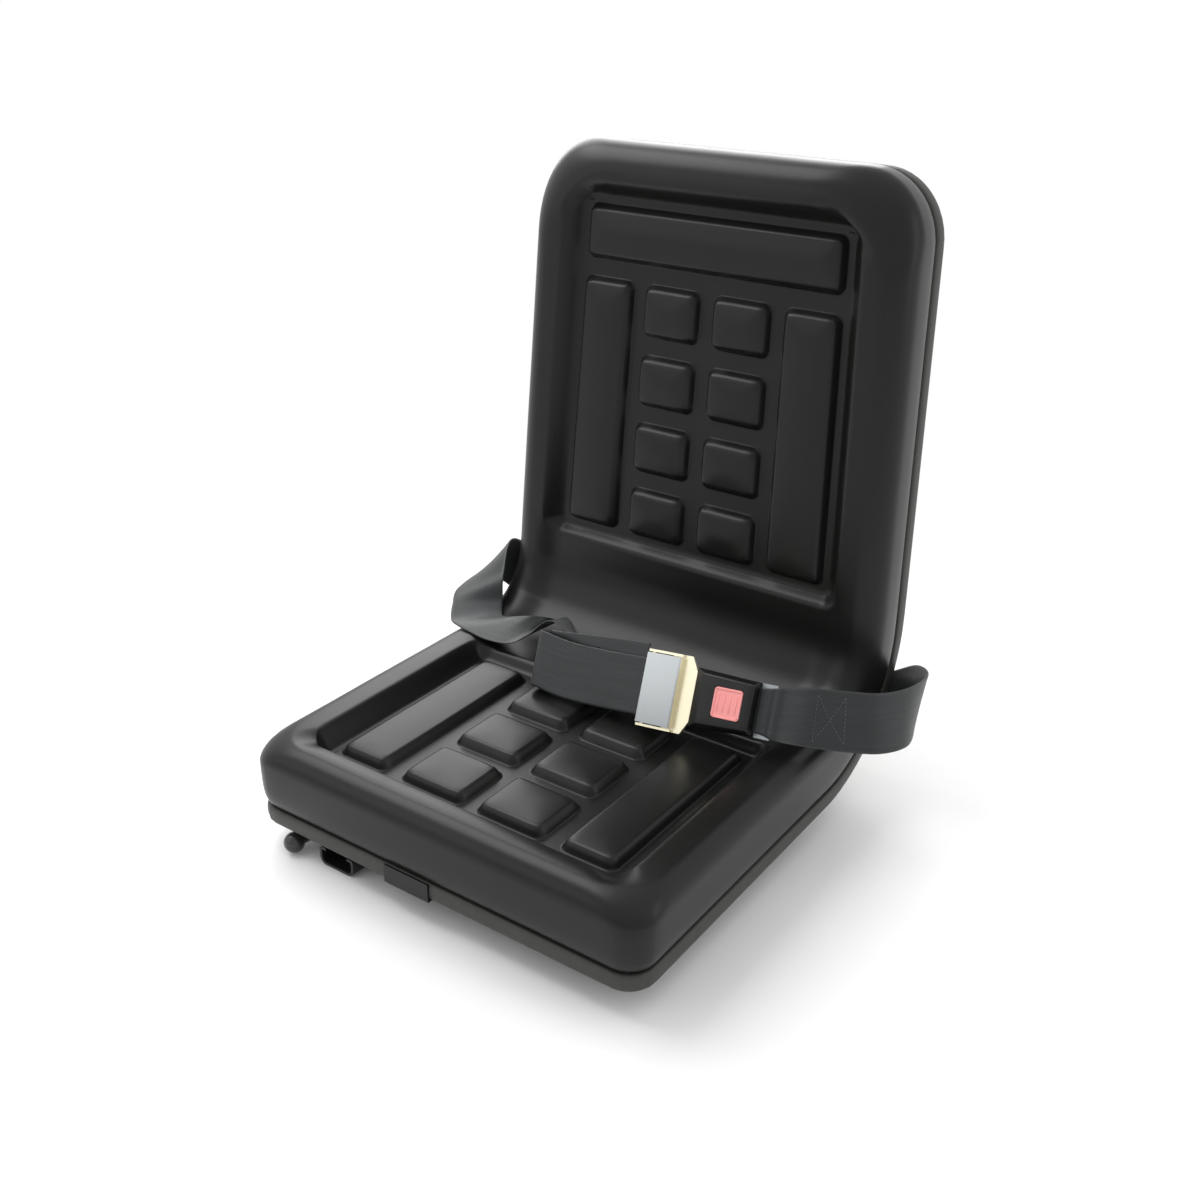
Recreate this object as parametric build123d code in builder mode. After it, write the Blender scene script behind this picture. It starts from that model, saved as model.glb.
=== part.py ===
from build123d import *
import os
from math import atan2, cos, degrees, radians, sin, tan

os.makedirs("parts", exist_ok=True)

# Tractor seat with slide rails, release lever and lap belt.
# X runs to the viewer's right, Y to the rear, Z up. The origin is the centre of the four
# mounting holes, on the underside of the lower rails. All lengths in millimetres.

# Side outline of the seat, measured on the outer face of the edge trim
pan_width = 390.0
front_reach = 187.0
seat_run = 294.0
bend_radius = 134.0
recline = 3.7
back_run = 389.0
back_taper = 2.1
taper_blend = 1500.0
front_corner = 24.0
top_corner = 58.0
trim_clearance_z = 24.0

# Heights above the trim's outer face, along seat, bend and back alike
pan_rise = 3.0
pan_sheet = 2.0
pan_rim = 13.0
trim_height = 15.4
floor_height = 58.0
crest_height = 74.5
lap_height = 67.5

# Edge trim and the fits around the pan's rim
trim_wall = 3.2
trim_lip = 10.0
soft_gap = 0.3
rim_gap = 0.3

# Cushion skin
cushion_overhang = 2.5
shoulder_radius = 24.0
tuck_radius = 2.0
recess_margin = 8.0
recess_slope = 40.0
channel_half = 150.0

# Raised pattern of the seat
cell_height = 8.4
cell_draft = 24.0
cell_corner = 4.0
pattern_front = 48.0
seat_cell = 57.0
seat_row_gap = 11.6
seat_rows = 3
seat_block_width = 67.0
seat_block_inner = 6.1
seat_bar_inner = 88.5
seat_bar_width = 52.3

# Raised pattern of the back, from the trim's upper edge downwards
pattern_top = 51.0
back_cell = 47.4
back_row_gap = 15.3
back_rows = 4
top_bar_height = 48.5
back_block_width = 61.3
back_block_inner = 6.7
back_bar_inner = 80.3
back_bar_width = 57.4
pattern_taper = 0.085

# Slide rails
rail_spacing = 219.0
rail_length = 360.0
right_rail_setback = 68.0
rail_width = 38.0
rail_height = 17.0
rail_sheet = 2.5
rail_corner = 7.0
rail_slot = 24.0
upper_length = 260.0
upper_width = 20.0
upper_flange = 29.0
upper_flange_z = 7.3
roller_gap = 0.05
roller_length = 4.0
roller_reach = 60.0
glide_length = 32.0
glide_gap = 0.2
hole_spacing_y = 190.0
mount_hole = 9.0
stud_spacing_y = 180.0
bolt_diameter = 8.0
bolt_hole_gap = 0.25
bolt_head_across = 12.0
bolt_head_height = 5.3
nut_across = 13.0
nut_height = 6.5
bolt_end = 2.0
nut_pocket_gap = 2.0

# Release lever, turning on an upright pin beside the left rail
lever_pivot_x = -145.5
lever_pivot_y = -40.0
lever_sheet = 4.0
lever_z = 7.6
lever_bar = 14.0
lever_knob_x = -157.0
lever_knob_y = -182.0
knob_radius = 9.0
knob_neck = 5.5
lever_rod = 7.0
tooth_y = -95.0
tooth_width = 5.6
tooth_gap = 0.5
lever_swing = 4.2
window_pitch = 12.0
window_width = 8.0
window_height = 7.0
window_count = 11
pin_diameter = 8.0
pin_gap = 0.06
pin_head = 16.0
pin_head_height = 3.0
pin_shoulder = 13.0
lever_play = 0.3
spring_wire = 1.6
spring_turns = 3

# Trim joint clip on the front edge
clip_x = -23.0
clip_width = 46.0
clip_sheet = 1.6
clip_leg = 12.0
clip_gap = 0.2

# Lap belt hardware: its own plane leans back and climbs to the viewer's right
belt_origin = (63.0, 44.4, 126.9)
belt_tilt = 29.0
belt_climb = 6.5
webbing = 50.0
web_sheet = 1.6

# Tongue with its adjuster, lengths along the belt from the middle of the cover
cover_length = 33.0
cover_width = 60.0
cover_front = 8.5
cover_rear = 8.0
cover_wall = 1.5
plate_sheet = 2.5
plate_flange = 2.0
flange_reach = 5.0
plate_overhang = 3.0
plate_shoulder = 27.0
blade_start = 31.0
blade_half = 14.0
blade_tip = 56.0
latch_hole = 9.0
bar_diameter = 5.0
bar_along = -3.0

# Buckle
buckle_length = 57.0
mouth_half = 25.0
tail_half = 22.5
buckle_front = 9.5
buckle_rear = 9.0
buckle_wall = 1.7
buckle_bevel = 8.0
buckle_slope = 5.0
base_sheet = 2.0
base_top = -2.0
base_end = 103.0
base_half = 19.0
slot_width = 5.0
button_along = 66.0
button_size = 25.4
button_proud = 0.8
button_flange = 1.4
button_flange_sheet = 1.5
button_depth = 5.0
button_gap = 0.3
blade_gap = 0.35
latch_sheet = 2.0
leaf_sheet = 0.6

# Belt anchors on the outside of the bend
anchor_edge = 60.0
anchor_angle = 55.0
anchor_length = 60.0
anchor_width = 66.0
anchor_sheet = 3.0
anchor_slot = 7.0
anchor_bolt = 10.0
anchor_head_across = 16.0
anchor_head_height = 6.5
anchor_seat = 0.1
nut_seat = 0.45
slot_play = 2.0
strap_opening = 6.0

# Worked out from the sizes above
front_y = -front_reach
trim_z = trim_clearance_z
bend_y = front_y + seat_run
bend_z = trim_z + bend_radius
bend_angle = 90.0 - recline
half_width = pan_width / 2
pan_under_z = trim_z + pan_rise
back_foot = Vector(
    0,
    bend_y + bend_radius * sin(radians(bend_angle)),
    bend_z - bend_radius * cos(radians(bend_angle)),
)
back_plane = Plane(
    origin=back_foot,
    x_dir=(1, 0, 0),
    z_dir=(0, -cos(radians(recline)), sin(radians(recline))),
)
seat_plane = Plane(origin=(0, front_y, trim_z), x_dir=(1, 0, 0), z_dir=(0, 0, 1))
seat_floor = seat_plane.offset(floor_height)
back_floor = back_plane.offset(floor_height)
far = 3 * (seat_run + back_run)


rail_x = rail_spacing / 2
stud_places = [(x, y) for x in (-rail_x, rail_x) for y in (-stud_spacing_y / 2, stud_spacing_y / 2)]
mount_places = [(x, y) for x in (-rail_x, rail_x) for y in (-hole_spacing_y / 2, hole_spacing_y / 2)]
nut_pocket_radius = nut_across / 2 / cos(radians(30)) + nut_pocket_gap
nut_pocket_depth = nut_height + bolt_end + nut_pocket_gap
anchor_x = half_width - anchor_edge
anchor_bolt_offset = anchor_length / 2 - anchor_head_across / 2 - anchor_sheet
anchor_slot_offset = anchor_length / 2 - anchor_slot - anchor_sheet
anchor_pocket_radius = anchor_head_across / 2 / cos(radians(30)) + nut_pocket_gap


def anchor_plane(side, lift):
    """Plane that touches the outside of the pan's bend at a belt anchor, facing outwards."""
    out = Vector(0, sin(radians(anchor_angle)), -cos(radians(anchor_angle)))
    radius = bend_radius - pan_rise + lift
    return Plane(
        origin=Vector(side * anchor_x, bend_y, bend_z) + out * radius,
        x_dir=(1, 0, 0),
        z_dir=out,
    )


def l_band(h_low, h_high, inset):
    """Slab that follows seat, bend and back between two heights, with rounded corners."""
    with BuildPart() as band:
        with BuildSketch(Plane.YZ):
            with BuildLine():
                low_seat = Line((front_y + inset, trim_z + h_low), (bend_y, trim_z + h_low))
                low_bend = JernArc(low_seat @ 1, low_seat % 1, bend_radius - h_low, bend_angle)
                low_back = Line(low_bend @ 1, low_bend @ 1 + (low_bend % 1) * (back_run - inset))
                high_seat = Line((front_y + inset, trim_z + h_high), (bend_y, trim_z + h_high))
                high_bend = JernArc(high_seat @ 1, high_seat % 1, bend_radius - h_high, bend_angle)
                high_back = Line(high_bend @ 1, high_bend @ 1 + (high_bend % 1) * (back_run - inset))
                Line(low_back @ 1, high_back @ 1)
                Line(low_seat @ 0, high_seat @ 0)
            make_face()
        extrude(amount=pan_width, both=True)
        with BuildSketch(Plane.XY) as plan:
            with Locations((0, front_y + inset)):
                Rectangle(2 * (half_width - inset), far, align=(Align.CENTER, Align.MIN))
            fillet(plan.vertices().group_by(Axis.Y)[0], front_corner - inset)
        extrude(amount=far, both=True, mode=Mode.INTERSECT)
        with BuildSketch(back_plane) as elevation:
            foot = half_width - inset
            top = foot - back_run * tan(radians(back_taper))
            crown = back_run - inset
            with BuildLine():
                Polyline(
                    (-foot, -far), (-foot, 0), (-top, crown), (top, crown), (foot, 0), (foot, -far),
                    close=True,
                )
            make_face()
            fillet(elevation.vertices().group_by(Axis.Y)[-1], top_corner - inset)
            fillet(elevation.vertices().filter_by_position(Axis.Y, -1, 1), taper_blend)
        extrude(amount=far, both=True, mode=Mode.INTERSECT)
    return band.part


def outer_loop(faces):
    """Edges that bound a group of touching faces."""
    edges = [edge for face in faces for edge in face.edges()]
    return [edge for edge in edges if sum(edge.is_same(other) for other in edges) == 1]


def faces_at(solid, height):
    """Seat, bend and back faces of a band that lie at one height above the trim."""
    middle = [
        Vector(0, bend_y - seat_run / 2, trim_z + height),
        Vector(
            0,
            bend_y + (bend_radius - height) * sin(radians(bend_angle / 2)),
            bend_z - (bend_radius - height) * cos(radians(bend_angle / 2)),
        ),
        back_plane.from_local_coords(Vector(0, back_run / 2, height)),
    ]
    return [solid.faces().sort_by(lambda face: face.distance_to(point))[0] for point in middle]


# Cushion: foam with a moulded skin, crowned borders and a raised pattern in two recesses
cushion_body = l_band(trim_height + soft_gap, crest_height, -cushion_overhang)
cushion_plug = l_band(
    pan_rise + pan_sheet + soft_gap, trim_height + soft_gap, trim_lip + soft_gap
)
seat_pattern_length = seat_rows * seat_cell + (seat_rows - 1) * seat_row_gap
seat_bar_middle = seat_bar_inner + seat_bar_width / 2
seat_block_middle = seat_block_inner + seat_block_width / 2
seat_recess_half = seat_bar_inner + seat_bar_width + recess_margin
back_pattern_top = back_run - pattern_top
back_bar_top = back_pattern_top - top_bar_height - back_row_gap
back_bar_low = back_bar_top - back_rows * back_cell - (back_rows - 1) * back_row_gap
back_bar_outer = back_bar_inner + back_bar_width
recess_depth = crest_height - floor_height


def back_scale(height):
    """Width of the back pattern at one height, as a share of its width at the lower end."""
    return 1 - pattern_taper * (height - back_bar_low) / (back_pattern_top - back_bar_low)


def back_cell_outline(inner, outer, low, high):
    """Corner points of one cell of the back, narrowed towards the top."""
    low_scale = back_scale(low)
    high_scale = back_scale(high)
    return [
        (inner * low_scale, low),
        (outer * low_scale, low),
        (outer * high_scale, high),
        (inner * high_scale, high),
    ]


top_bar_low = back_pattern_top - top_bar_height
back_outlines = [back_cell_outline(-back_bar_outer, back_bar_outer, top_bar_low, back_pattern_top)]
for side in (-1, 1):
    bar_edges = sorted((side * back_bar_inner, side * back_bar_outer))
    block_edges = sorted((side * back_block_inner, side * (back_block_inner + back_block_width)))
    back_outlines.append(back_cell_outline(*bar_edges, back_bar_low, back_bar_top))
    for row in range(back_rows):
        row_low = back_bar_low + row * (back_cell + back_row_gap)
        back_outlines.append(back_cell_outline(*block_edges, row_low, row_low + back_cell))
back_recess = back_cell_outline(
    -back_bar_outer - recess_margin,
    back_bar_outer + recess_margin,
    back_bar_low - recess_margin,
    back_pattern_top + recess_margin,
)

with BuildPart() as cushion:
    add(cushion_body)
    fillet(outer_loop(faces_at(cushion.part, crest_height)), shoulder_radius)
    fillet(outer_loop(faces_at(cushion.part, trim_height + soft_gap)), tuck_radius)
    with BuildSketch(seat_floor):
        with Locations((0, pattern_front - recess_margin)):
            Rectangle(
                2 * seat_recess_half,
                seat_pattern_length + 2 * recess_margin,
                align=(Align.CENTER, Align.MIN),
            )
    extrude(amount=2 * recess_depth, taper=-recess_slope, mode=Mode.SUBTRACT)
    with BuildSketch(back_floor):
        with BuildLine():
            Polyline(*back_recess, close=True)
        make_face()
    extrude(amount=2 * recess_depth, taper=-recess_slope, mode=Mode.SUBTRACT)
    channel_start = pattern_front + seat_pattern_length + recess_margin
    with BuildLine(Plane.YZ) as channel_path:
        run = Line((front_y + channel_start, trim_z), (bend_y, trim_z))
        turn = JernArc(run @ 1, run % 1, bend_radius, bend_angle)
        Line(turn @ 1, turn @ 1 + (turn % 1) * (back_bar_low - recess_margin))
    channel_mouth = (0, front_y + channel_start, trim_z)
    with BuildSketch(Plane(origin=channel_mouth, x_dir=(-1, 0, 0), z_dir=(0, 1, 0))):
        lap_half = channel_half + (lap_height - floor_height) * tan(radians(recess_slope))
        brow_half = channel_half + 2 * recess_depth * tan(radians(recess_slope))
        with BuildLine():
            Polyline(
                (-lap_half, lap_height),
                (lap_half, lap_height),
                (brow_half, floor_height + 2 * recess_depth),
                (-brow_half, floor_height + 2 * recess_depth),
                close=True,
            )
        make_face()
    sweep(path=channel_path.wire(), mode=Mode.SUBTRACT)
    with BuildSketch(seat_floor) as seat_cells:
        for side in (-1, 1):
            with Locations((side * seat_bar_middle, pattern_front)):
                Rectangle(seat_bar_width, seat_pattern_length, align=(Align.CENTER, Align.MIN))
            for row in range(seat_rows):
                row_front = pattern_front + row * (seat_cell + seat_row_gap)
                with Locations((side * seat_block_middle, row_front)):
                    Rectangle(seat_block_width, seat_cell, align=(Align.CENTER, Align.MIN))
        fillet(seat_cells.vertices(), cell_corner)
    extrude(amount=cell_height, taper=cell_draft)
    with BuildSketch(back_floor) as back_cells:
        for outline in back_outlines:
            with BuildLine():
                Polyline(*outline, close=True)
            make_face()
        fillet(back_cells.vertices(), cell_corner)
    extrude(amount=cell_height, taper=cell_draft)
    add(cushion_plug)
    with Locations(*[(x, y, pan_under_z + pan_sheet) for x, y in stud_places]):
        Cylinder(
            nut_pocket_radius,
            nut_pocket_depth,
            align=(Align.CENTER, Align.CENTER, Align.MIN),
            mode=Mode.SUBTRACT,
        )
    for side in (-1, 1):
        with Locations(anchor_plane(side, -pan_sheet).location):
            with Locations((-side * anchor_bolt_offset, 0, 0)):
                Cylinder(
                    anchor_pocket_radius,
                    nut_pocket_depth,
                    align=(Align.CENTER, Align.CENTER, Align.MAX),
                    mode=Mode.SUBTRACT,
                )
cushion.part.label = "cushion"
export_step(cushion.part, "parts/cushion.step")

# Pan: pressed sheet with an upturned rim all round
rim_inset = trim_wall + rim_gap
pan_outside = l_band(pan_rise, pan_rim, rim_inset)
pan_inside = l_band(pan_rise + pan_sheet, pan_rim + pan_sheet, rim_inset + pan_sheet)
with BuildPart() as seat_pan:
    add(pan_outside)
    add(pan_inside, mode=Mode.SUBTRACT)
    with Locations(*[(x, y, pan_under_z + pan_sheet) for x, y in stud_places]):
        Hole(bolt_diameter / 2 + bolt_hole_gap, 2 * pan_sheet)
    with Locations((lever_pivot_x, lever_pivot_y, pan_under_z + pan_sheet)):
        Hole(pin_diameter / 2 + bolt_hole_gap, 2 * pan_sheet)
    for side in (-1, 1):
        with Locations(anchor_plane(side, 0).location):
            with Locations((-side * anchor_bolt_offset, 0, 0)):
                Cylinder(anchor_bolt / 2 + bolt_hole_gap, 4 * pan_sheet, mode=Mode.SUBTRACT)
seat_pan.part.label = "seat_pan"
export_step(seat_pan.part, "parts/seat_pan.step")

# Edge trim: a C section that grips the pan's rim and closes the cushion's hem
trim_outside = l_band(0, trim_height, 0)
trim_groove = l_band(pan_rise - rim_gap, pan_rim + rim_gap, trim_wall)
trim_window = l_band(-trim_height, 2 * trim_height, trim_lip)
with BuildPart() as edge_trim:
    add(trim_outside)
    add(trim_groove, mode=Mode.SUBTRACT)
    add(trim_window, mode=Mode.SUBTRACT)
edge_trim.part.label = "edge_trim"
export_step(edge_trim.part, "parts/edge_trim.step")

# Clip over the joint of the trim
clip_front = front_y - clip_gap - clip_sheet
clip_low = trim_z - clip_gap - clip_sheet
with BuildPart() as trim_clip:
    with BuildSketch(Plane.YZ.offset(clip_x)):
        with BuildLine():
            Polyline(
                (clip_front, clip_low),
                (front_y + clip_leg, clip_low),
                (front_y + clip_leg, clip_low + clip_sheet),
                (clip_front + clip_sheet, clip_low + clip_sheet),
                (clip_front + clip_sheet, trim_z + trim_height),
                (clip_front, trim_z + trim_height),
                close=True,
            )
        make_face()
    extrude(amount=clip_width / 2, both=True)
    fillet(trim_clip.edges().filter_by(Axis.X).group_by(Axis.Z)[0].sort_by(Axis.Y)[0], clip_sheet / 2)
trim_clip.part.label = "trim_clip"
export_step(trim_clip.part, "parts/trim_clip.step")

# Slide rails: C channels on the machine, hat sections under the pan
tooth_arm = lever_pivot_y - tooth_y
window_y = tooth_y + sin(radians(lever_swing)) * (rail_x + rail_width / 2 - abs(lever_pivot_x)) / -2
lever_middle_z = lever_z + lever_sheet / 2
glide_low = upper_flange_z + rail_sheet
glide_high = rail_height - rail_sheet - glide_gap
roller_radius = (upper_flange_z - rail_sheet) / 2 - roller_gap
roller_z = rail_sheet + roller_gap + roller_radius
flange_middle = (upper_flange + upper_width) / 4
for side, name in ((-1, "left"), (1, "right")):
    with BuildPart() as lower_rail:
        rail_front = -rail_length / 2 + (right_rail_setback if side > 0 else 0)
        rail_run = rail_length / 2 - rail_front
        with BuildSketch(Plane.XZ.offset(-rail_front)) as channel:
            with Locations((side * rail_x, 0)):
                Rectangle(rail_width, rail_height, align=(Align.CENTER, Align.MIN))
            fillet(channel.vertices().group_by(Axis.Y)[0], rail_corner)
            fillet(channel.vertices().group_by(Axis.Y)[-1], rail_sheet)
        extrude(amount=-rail_run)
        with BuildSketch(Plane.XZ.offset(-rail_front)) as hollow:
            with Locations((side * rail_x, rail_sheet)):
                Rectangle(
                    rail_width - 2 * rail_sheet,
                    rail_height - 2 * rail_sheet,
                    align=(Align.CENTER, Align.MIN),
                )
            fillet(hollow.vertices().group_by(Axis.Y)[0], rail_corner - rail_sheet)
            with Locations((side * rail_x, rail_height / 2)):
                Rectangle(rail_slot, rail_height, align=(Align.CENTER, Align.MIN))
        extrude(amount=-rail_run, mode=Mode.SUBTRACT)
        with Locations(*[(x, y, rail_sheet) for x, y in mount_places if x * side > 0]):
            Hole(mount_hole / 2, 2 * rail_sheet)
        if side < 0:
            with Locations((-rail_x - rail_width / 2, window_y, lever_middle_z)):
                with GridLocations(0, window_pitch, 1, window_count):
                    Box(3 * rail_sheet, window_width, window_height, mode=Mode.SUBTRACT)
    lower_rail.part.label = f"lower_rail_{name}"
    export_step(lower_rail.part, f"parts/lower_rail_{name}.step")

    with BuildPart() as upper_rail:
        with BuildSketch(Plane.XZ):
            with Locations((side * rail_x, upper_flange_z)):
                Rectangle(upper_flange, rail_sheet, align=(Align.CENTER, Align.MIN))
                Rectangle(upper_width, pan_under_z - upper_flange_z, align=(Align.CENTER, Align.MIN))
                Rectangle(
                    upper_width - 2 * rail_sheet,
                    pan_under_z - upper_flange_z - rail_sheet,
                    align=(Align.CENTER, Align.MIN),
                    mode=Mode.SUBTRACT,
                )
        extrude(amount=upper_length / 2, both=True)
        with Locations(*[(x, y, pan_under_z) for x, y in stud_places if x * side > 0]):
            Hole(bolt_diameter / 2 + bolt_hole_gap, 2 * rail_sheet)
    upper_rail.part.label = f"upper_rail_{name}"
    export_step(upper_rail.part, f"parts/upper_rail_{name}.step")

with BuildPart() as rail_rollers:
    for x in (-rail_x, rail_x):
        for wing in (-upper_width / 2, upper_width / 2):
            for y in (-roller_reach, roller_reach):
                with Locations(Location((x + wing, y, roller_z), (0, 90, 0))):
                    Cylinder(roller_radius, roller_length)
rail_rollers.part.label = "rail_rollers"
export_step(rail_rollers.part, "parts/rail_rollers.step")

glide_width = (upper_flange - upper_width) / 2 - glide_gap
glide_y = (upper_length - glide_length) / 2
flange_places = [(x, wing) for x in (-rail_x, rail_x) for wing in (-flange_middle, flange_middle)]
with BuildPart() as rail_glides:
    for x, wing in flange_places:
        middle = x + wing * (1 + glide_gap / 2 / flange_middle)
        with Locations(*[(middle, y, glide_low) for y in (-glide_y, glide_y)]):
            Box(
                glide_width,
                glide_length,
                glide_high - glide_low,
                align=(Align.CENTER, Align.CENTER, Align.MIN),
            )
rail_glides.part.label = "rail_glides"
export_step(rail_glides.part, "parts/rail_glides.step")

# Bolts and nuts that hold the upper rails to the pan
web_under_z = pan_under_z - rail_sheet
bolt_length = rail_sheet + pan_sheet + nut_height + bolt_end
with BuildPart() as rail_bolts:
    with BuildSketch(Plane.XY.offset(web_under_z - bolt_head_height)):
        with Locations(*stud_places):
            RegularPolygon(bolt_head_across / 2, 6, major_radius=False)
    extrude(amount=bolt_head_height)
    with BuildSketch(Plane.XY.offset(web_under_z)):
        with Locations(*stud_places):
            Circle(bolt_diameter / 2)
    extrude(amount=bolt_length)
rail_bolts.part.label = "rail_bolts"
export_step(rail_bolts.part, "parts/rail_bolts.step")

with BuildPart() as rail_nuts:
    with BuildSketch(Plane.XY.offset(pan_under_z + pan_sheet)):
        with Locations(*stud_places):
            RegularPolygon(nut_across / 2, 6, major_radius=False)
            Circle(bolt_diameter / 2 + pin_gap, mode=Mode.SUBTRACT)
    extrude(amount=nut_height)
rail_nuts.part.label = "rail_nuts"
export_step(rail_nuts.part, "parts/rail_nuts.step")

# Release lever with its tooth, knob, pin and return spring
elbow = Vector(lever_pivot_x - lever_bar / 2, lever_pivot_y - tooth_arm - 3 * lever_bar)
pivot = Vector(lever_pivot_x, lever_pivot_y)
knob = Vector(lever_knob_x, lever_knob_y, lever_middle_z)
bar_line = elbow - pivot
rod_line = Vector(elbow.X, elbow.Y, lever_middle_z) - knob
rod_plane = Plane(origin=knob, z_dir=rod_line)
tooth_tip = -rail_x - rail_width / 2 - tooth_gap
with BuildPart() as release_lever:
    with BuildSketch(Plane.XY.offset(lever_z)):
        with Locations((pivot + elbow) / 2):
            SlotCenterToCenter(bar_line.length, lever_bar, rotation=degrees(atan2(bar_line.Y, bar_line.X)))
        with Locations(pivot):
            Circle(pin_head / 2 + lever_sheet)
        with Locations((tooth_tip, tooth_y)):
            Rectangle(tooth_tip - lever_pivot_x, tooth_width, align=(Align.MAX, Align.CENTER))
        with Locations(pivot):
            Circle(pin_diameter / 2 + pin_gap, mode=Mode.SUBTRACT)
    extrude(amount=lever_sheet)
    with BuildSketch(rod_plane):
        Circle(lever_rod / 2)
    extrude(amount=rod_line.length)
release_lever.part.label = "release_lever"
export_step(release_lever.part, "parts/release_lever.step")

with BuildPart() as lever_knob:
    with BuildSketch(Plane(origin=knob, x_dir=rod_plane.x_dir, z_dir=rod_plane.y_dir)) as turned:
        with Locations((0, 0)):
            Circle(knob_radius)
        with BuildLine():
            Polyline(
                (0, 0),
                (knob_neck, 0),
                (knob_neck, -2 * knob_radius),
                (0, -2 * knob_radius),
                close=True,
            )
        make_face()
        with Locations((0, 0)):
            Rectangle(4 * knob_radius, 8 * knob_radius, align=(Align.MAX, Align.CENTER), mode=Mode.SUBTRACT)
    revolve(axis=Axis(knob, rod_line))
    with BuildSketch(rod_plane.offset(-lever_play)):
        Circle(lever_rod / 2 + pin_gap)
    extrude(amount=4 * knob_radius, mode=Mode.SUBTRACT)
lever_knob.part.label = "lever_knob"
export_step(lever_knob.part, "parts/lever_knob.step")

shoulder_low = lever_z + lever_sheet + lever_play
pin_low = lever_z - lever_play - pin_head_height
with BuildPart() as lever_pin:
    with BuildSketch(Plane.XY.offset(pin_low)):
        with Locations(pivot):
            Circle(pin_head / 2)
    extrude(amount=pin_head_height)
    with BuildSketch(Plane.XY.offset(pin_low)):
        with Locations(pivot):
            Circle(pin_diameter / 2)
    extrude(amount=pan_under_z + pan_sheet - pin_low)
    with BuildSketch(Plane.XY.offset(shoulder_low)):
        with Locations(pivot):
            Circle(pin_shoulder / 2)
    extrude(amount=pan_under_z - shoulder_low)
lever_pin.part.label = "lever_pin"
export_step(lever_pin.part, "parts/lever_pin.step")

spring_radius = pin_shoulder / 2 + spring_wire / 2 + lever_play
spring_height = 2 * spring_wire * spring_turns
with BuildPart() as lever_spring:
    with BuildLine() as coil:
        Helix(
            spring_height / spring_turns,
            spring_height,
            spring_radius,
            center=(lever_pivot_x, lever_pivot_y, shoulder_low + spring_wire),
        )
    with BuildSketch(Plane(origin=coil.line @ 0, z_dir=coil.line % 0)):
        Circle(spring_wire / 2)
    sweep(path=coil.line)
lever_spring.part.label = "lever_spring"
export_step(lever_spring.part, "parts/lever_spring.step")

# Belt anchors: slotted plates bolted through the pan's bend
with BuildPart() as anchor_bolts:
    for side in (-1, 1):
        with BuildSketch(anchor_plane(side, anchor_seat + anchor_sheet)):
            with Locations((-side * anchor_bolt_offset, 0)):
                RegularPolygon(anchor_head_across / 2, 6, major_radius=False)
        extrude(amount=anchor_head_height)
        with BuildSketch(anchor_plane(side, anchor_seat + anchor_sheet)):
            with Locations((-side * anchor_bolt_offset, 0)):
                Circle(anchor_bolt / 2)
        extrude(amount=-(anchor_seat + anchor_sheet + pan_sheet + nut_height + bolt_end))
anchor_bolts.part.label = "anchor_bolts"
export_step(anchor_bolts.part, "parts/anchor_bolts.step")

with BuildPart() as anchor_nuts:
    for side in (-1, 1):
        with BuildSketch(anchor_plane(side, -pan_sheet - nut_seat)):
            with Locations((-side * anchor_bolt_offset, 0)):
                RegularPolygon(anchor_head_across / 2, 6, major_radius=False)
                Circle(anchor_bolt / 2 + pin_gap, mode=Mode.SUBTRACT)
        extrude(amount=-nut_height)
anchor_nuts.part.label = "anchor_nuts"
export_step(anchor_nuts.part, "parts/anchor_nuts.step")

for side, name in ((-1, "left"), (1, "right")):
    with BuildPart() as anchor_plate:
        with BuildSketch(anchor_plane(side, anchor_seat)) as blank:
            Rectangle(anchor_length, anchor_width)
            fillet(blank.vertices(), anchor_slot)
            with Locations((side * anchor_slot_offset, 0)):
                Rectangle(anchor_slot, webbing + 2 * slot_play, mode=Mode.SUBTRACT)
            with Locations((-side * anchor_bolt_offset, 0)):
                Circle(anchor_bolt / 2 + bolt_hole_gap, mode=Mode.SUBTRACT)
        extrude(amount=anchor_sheet)
    anchor_plate.part.label = f"anchor_plate_{name}"
    export_step(anchor_plate.part, f"parts/anchor_plate_{name}.step")

# Lap belt: the local frame of tongue and buckle
tilt_up = Vector(0, sin(radians(belt_tilt)), cos(radians(belt_tilt)))
belt_along = Vector(1, 0, 0) * cos(radians(belt_climb)) + tilt_up * sin(radians(belt_climb))
belt_face = Vector(0, -cos(radians(belt_tilt)), sin(radians(belt_tilt)))
belt_plane = Plane(origin=belt_origin, x_dir=belt_along, z_dir=belt_face)
belt_across = belt_plane.y_dir
belt_section = Plane(origin=belt_origin, x_dir=belt_along, z_dir=-belt_across)


def belt_point(along, across, lift):
    """Point given in the belt's own frame."""
    return belt_plane.origin + belt_along * along + belt_across * across + belt_face * lift


def ribbon(stations):
    """Strap of webbing through stations of (middle, direction of its width, width)."""
    middles = [Vector(middle) for middle, across, width in stations]
    with BuildPart() as strap:
        for i, (middle, across, width) in enumerate(stations):
            heading = middles[min(i + 1, len(middles) - 1)] - middles[max(i - 1, 0)]
            heading = heading.normalized()
            flat = Vector(across) - heading * Vector(across).dot(heading)
            with BuildSketch(Plane(origin=middles[i], x_dir=flat, z_dir=heading)):
                Rectangle(width, web_sheet)
        loft(ruled=True)
    return strap.part


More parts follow.
